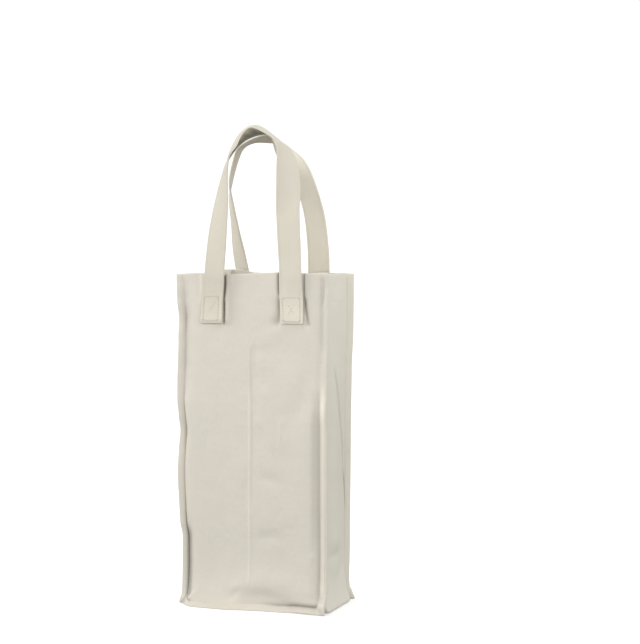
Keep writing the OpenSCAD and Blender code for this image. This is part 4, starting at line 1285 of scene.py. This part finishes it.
def box_rows(g, side):
    """Box and cross on each sewn end, on the outer face of the strap."""
    runs = []
    L = g["s"][-1]
    for end in (0, 1):
        def at(u, v, sink=0.02):
            s_ = v if end == 0 else L - v
            n_side = 1.0
            P, N = strap_row(g, u + move, s_, n_side)
            if N[len(N) // 2, 1] * side < 0:
                P, N = strap_row(g, u + move, s_, -1.0)
            return P - N * sink, N
        w, lo, hi = (8.6, 2.4, 28.4) if end == 0 and side < 0 else (9.5, 2.2, 27.2)
        move = -0.95 if end == 0 and side < 0 else 0.0
        t = np.linspace(0, 1, 25)
        runs.append(at(-w + 2 * w * t, np.full(25, lo)))
        runs.append(at(-w + 2 * w * t, np.full(25, hi)))
        runs.append(at(np.full(25, -w), lo + (hi - lo) * t))
        runs.append(at(np.full(25, w), lo + (hi - lo) * t))
        # the cross: the outer stitches lie deeper in the cloth and show less than those at its middle
        for lean, a, b in ((1, 0.40, 0.79), (-1, 0.5, 0.5)) if end == 0 and side < 0 else ((1, 0.36, 0.72), (-1, 0.30, 0.58)):
            for f0, f1, tag in ((0.0, a, 100.0), (a, b, 0.0), (b, 1.0, 100.0)):
                if f1 > f0:
                    f = np.linspace(f0, f1, 12)
                    P, N = at(lean * (-w + 2 * w * f) * 0.96, lo + (hi - lo) * (0.02 + 0.96 * f), 0.14 if tag == 0 else 0.2)
                    runs.append((P, N, tag))
    return runs


front_box = stitch_mesh("front_strap_box_thread", box_rows(front_g, -1), BOX_THREAD, wide=0.6, high=0.4)
back_box = stitch_mesh("back_strap_box_thread", box_rows(back_g, 1), BOX_THREAD, wide=0.6, high=0.4)


def edge_rows(g):
    runs = []
    s_ = np.arange(29.0, g["s"][-1] - 29.0, 1.6)
    for u in (-10.5, 10.5):
        for f in (-1.0, 1.0):
            runs.append(strap_row(g, np.full(s_.shape, u), s_, f))
    return runs


front_edge = stitch_mesh("front_strap_edge_thread", edge_rows(front_g), long=2.5, step=3.0, wide=0.5, high=0.4)
back_edge = stitch_mesh("back_strap_edge_thread", edge_rows(back_g), long=2.5, step=3.0, wide=0.5, high=0.4)

# ---------------------------------------------------------------- bodies and nodes; the slot names in the table are not used
for obj, node, slot in (
        (front_panel, "front_panel", "body_canvas"), (back_panel, "back_panel", "body_canvas"),
        (gusset_strip, "gusset_strip", "body_canvas"), (divider_panel, "divider_panel", "inner_canvas"),
        (front_seam, "front_seam_stitching", "cotton_thread"), (back_seam, "back_seam_stitching", "cotton_thread"),
        (front_div, "divider_front_stitching", "cotton_thread"), (back_div, "divider_back_stitching", "cotton_thread"),
        (divider_hem, "divider_hem_stitching", "cotton_thread"), (mouth, "mouth_hem_stitching", "cotton_thread"),
        (front_box, "front_strap_box_stitching", "cotton_thread"), (back_box, "back_strap_box_stitching", "cotton_thread")):
    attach(obj, "bag")
    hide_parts(node)

for side, strap, edge, body in ((-1, front_strap, front_edge, "front_handle"), (1, back_strap, back_edge, "back_handle")):
    for obj in (strap, edge):
        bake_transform(obj)
    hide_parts(body, body + "_left_end", body + "_right_end")
    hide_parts(body + "_edge_stitching")

# ---------------------------------------------------------------- floor, backdrop, light
def plain(name, color, rough=0.9, glow=0.0):
    m, t, bsdf = nodes_of(name)
    q = Maths(t)
    co = t.nodes.new("ShaderNodeTexCoord")
    v = q.noise(q.stretch(co.outputs["Object"], 2.0, 2.0, 2.0), 1.0, 2.0)
    t.links.new(q.mix(q.span(v, 0.3, 0.7, 0.0, 1.0), tuple(c * 0.99 for c in color), color), bsdf.inputs["Base Color"])
    bsdf.inputs["Roughness"].default_value = rough
    bsdf.inputs["Specular IOR Level"].default_value = 0.1
    if glow:
        bsdf.inputs["Emission Color"].default_value = (1, 1, 1, 1)
        bsdf.inputs["Emission Strength"].default_value = glow
    return m


def sweep_floor():
    """Flat round floor that curves up into a backdrop all round, far from the bag."""
    prof = [(0.3, 0.0), (1.2, 0.0), (3.4, 0.0)]
    for f in np.linspace(0, np.pi / 2, 17)[1:]:
        prof.append((3.4 + 1.6 * math.sin(f), 1.6 * (1 - math.cos(f))))
    prof.append((5.0, 6.5))
    turns = 96
    V = [(0.0, 0.0, 0.0)]
    for r, z in prof:
        V += [(r * math.cos(2 * math.pi * k / turns), r * math.sin(2 * math.pi * k / turns), z) for k in range(turns)]
    F = [[0, 1 + k, 1 + (k + 1) % turns] for k in range(turns)]
    for i in range(len(prof) - 1):
        for k in range(turns):
            a, b = 1 + i * turns, 1 + (i + 1) * turns
            F.append([a + k, b + k, b + (k + 1) % turns, a + (k + 1) % turns])
    mesh = bpy.data.meshes.new("floor")
    mesh.from_pydata(V, [], F)
    mesh.polygons.foreach_set("use_smooth", np.ones(len(mesh.polygons), bool))
    mesh.materials.append(plain("floor_white", (0.93, 0.93, 0.925), glow=0.16))
    o = bpy.data.objects.new("floor", mesh)
    scene.collection.objects.link(o)
    return o


floor = sweep_floor()
# the light from below comes from the world alone, so that undersides stay in soft shade
floor.visible_diffuse = False
floor.visible_shadow = False

world = bpy.data.worlds.new("studio")
scene.world = world
world.use_nodes = True
wt = world.node_tree
bg = wt.nodes["Background"]
bg.inputs[0].default_value = (1.0, 1.0, 1.0, 1.0)
wq = Maths(wt)
direction = wt.nodes.new("ShaderNodeTexCoord").outputs["Generated"]
dot = wt.nodes.new("ShaderNodeVectorMath")
dot.operation = "DOT_PRODUCT"
wt.links.new(direction, dot.inputs[0])
dot.inputs[1].default_value = (0.28, -0.30, 0.91)
ramp = wt.nodes.new("ShaderNodeMapRange")
ramp.interpolation_type = "SMOOTHSTEP"
for name, value in (("From Min", -0.75), ("From Max", 0.35), ("To Min", 0.24), ("To Max", 1.13)):
    ramp.inputs[name].default_value = value
wt.links.new(dot.outputs["Value"], ramp.inputs["Value"])
wt.links.new(ramp.outputs["Result"], bg.inputs[1])


def area(name, place, aim, size, power, color=(1, 1, 1)):
    d = bpy.data.lights.new(name, "AREA")
    d.shape = "RECTANGLE"
    d.size, d.size_y = size
    d.energy = power
    d.color = color
    o = bpy.data.objects.new(name, d)
    scene.collection.objects.link(o)
    o.location = place
    o.rotation_euler = (Vector(aim) - Vector(place)).to_track_quat("-Z", "Y").to_euler()
    return o


area("key", (-2.3, -0.85, 1.2), (0, 0, 0.22), (0.9, 0.9), 25, (1.0, 0.99, 0.97))
area("fill", (0.62, -0.62, 0.80), (0, 0, 0.38), (0.5, 0.5), 0.8, (1.0, 1.0, 0.99))
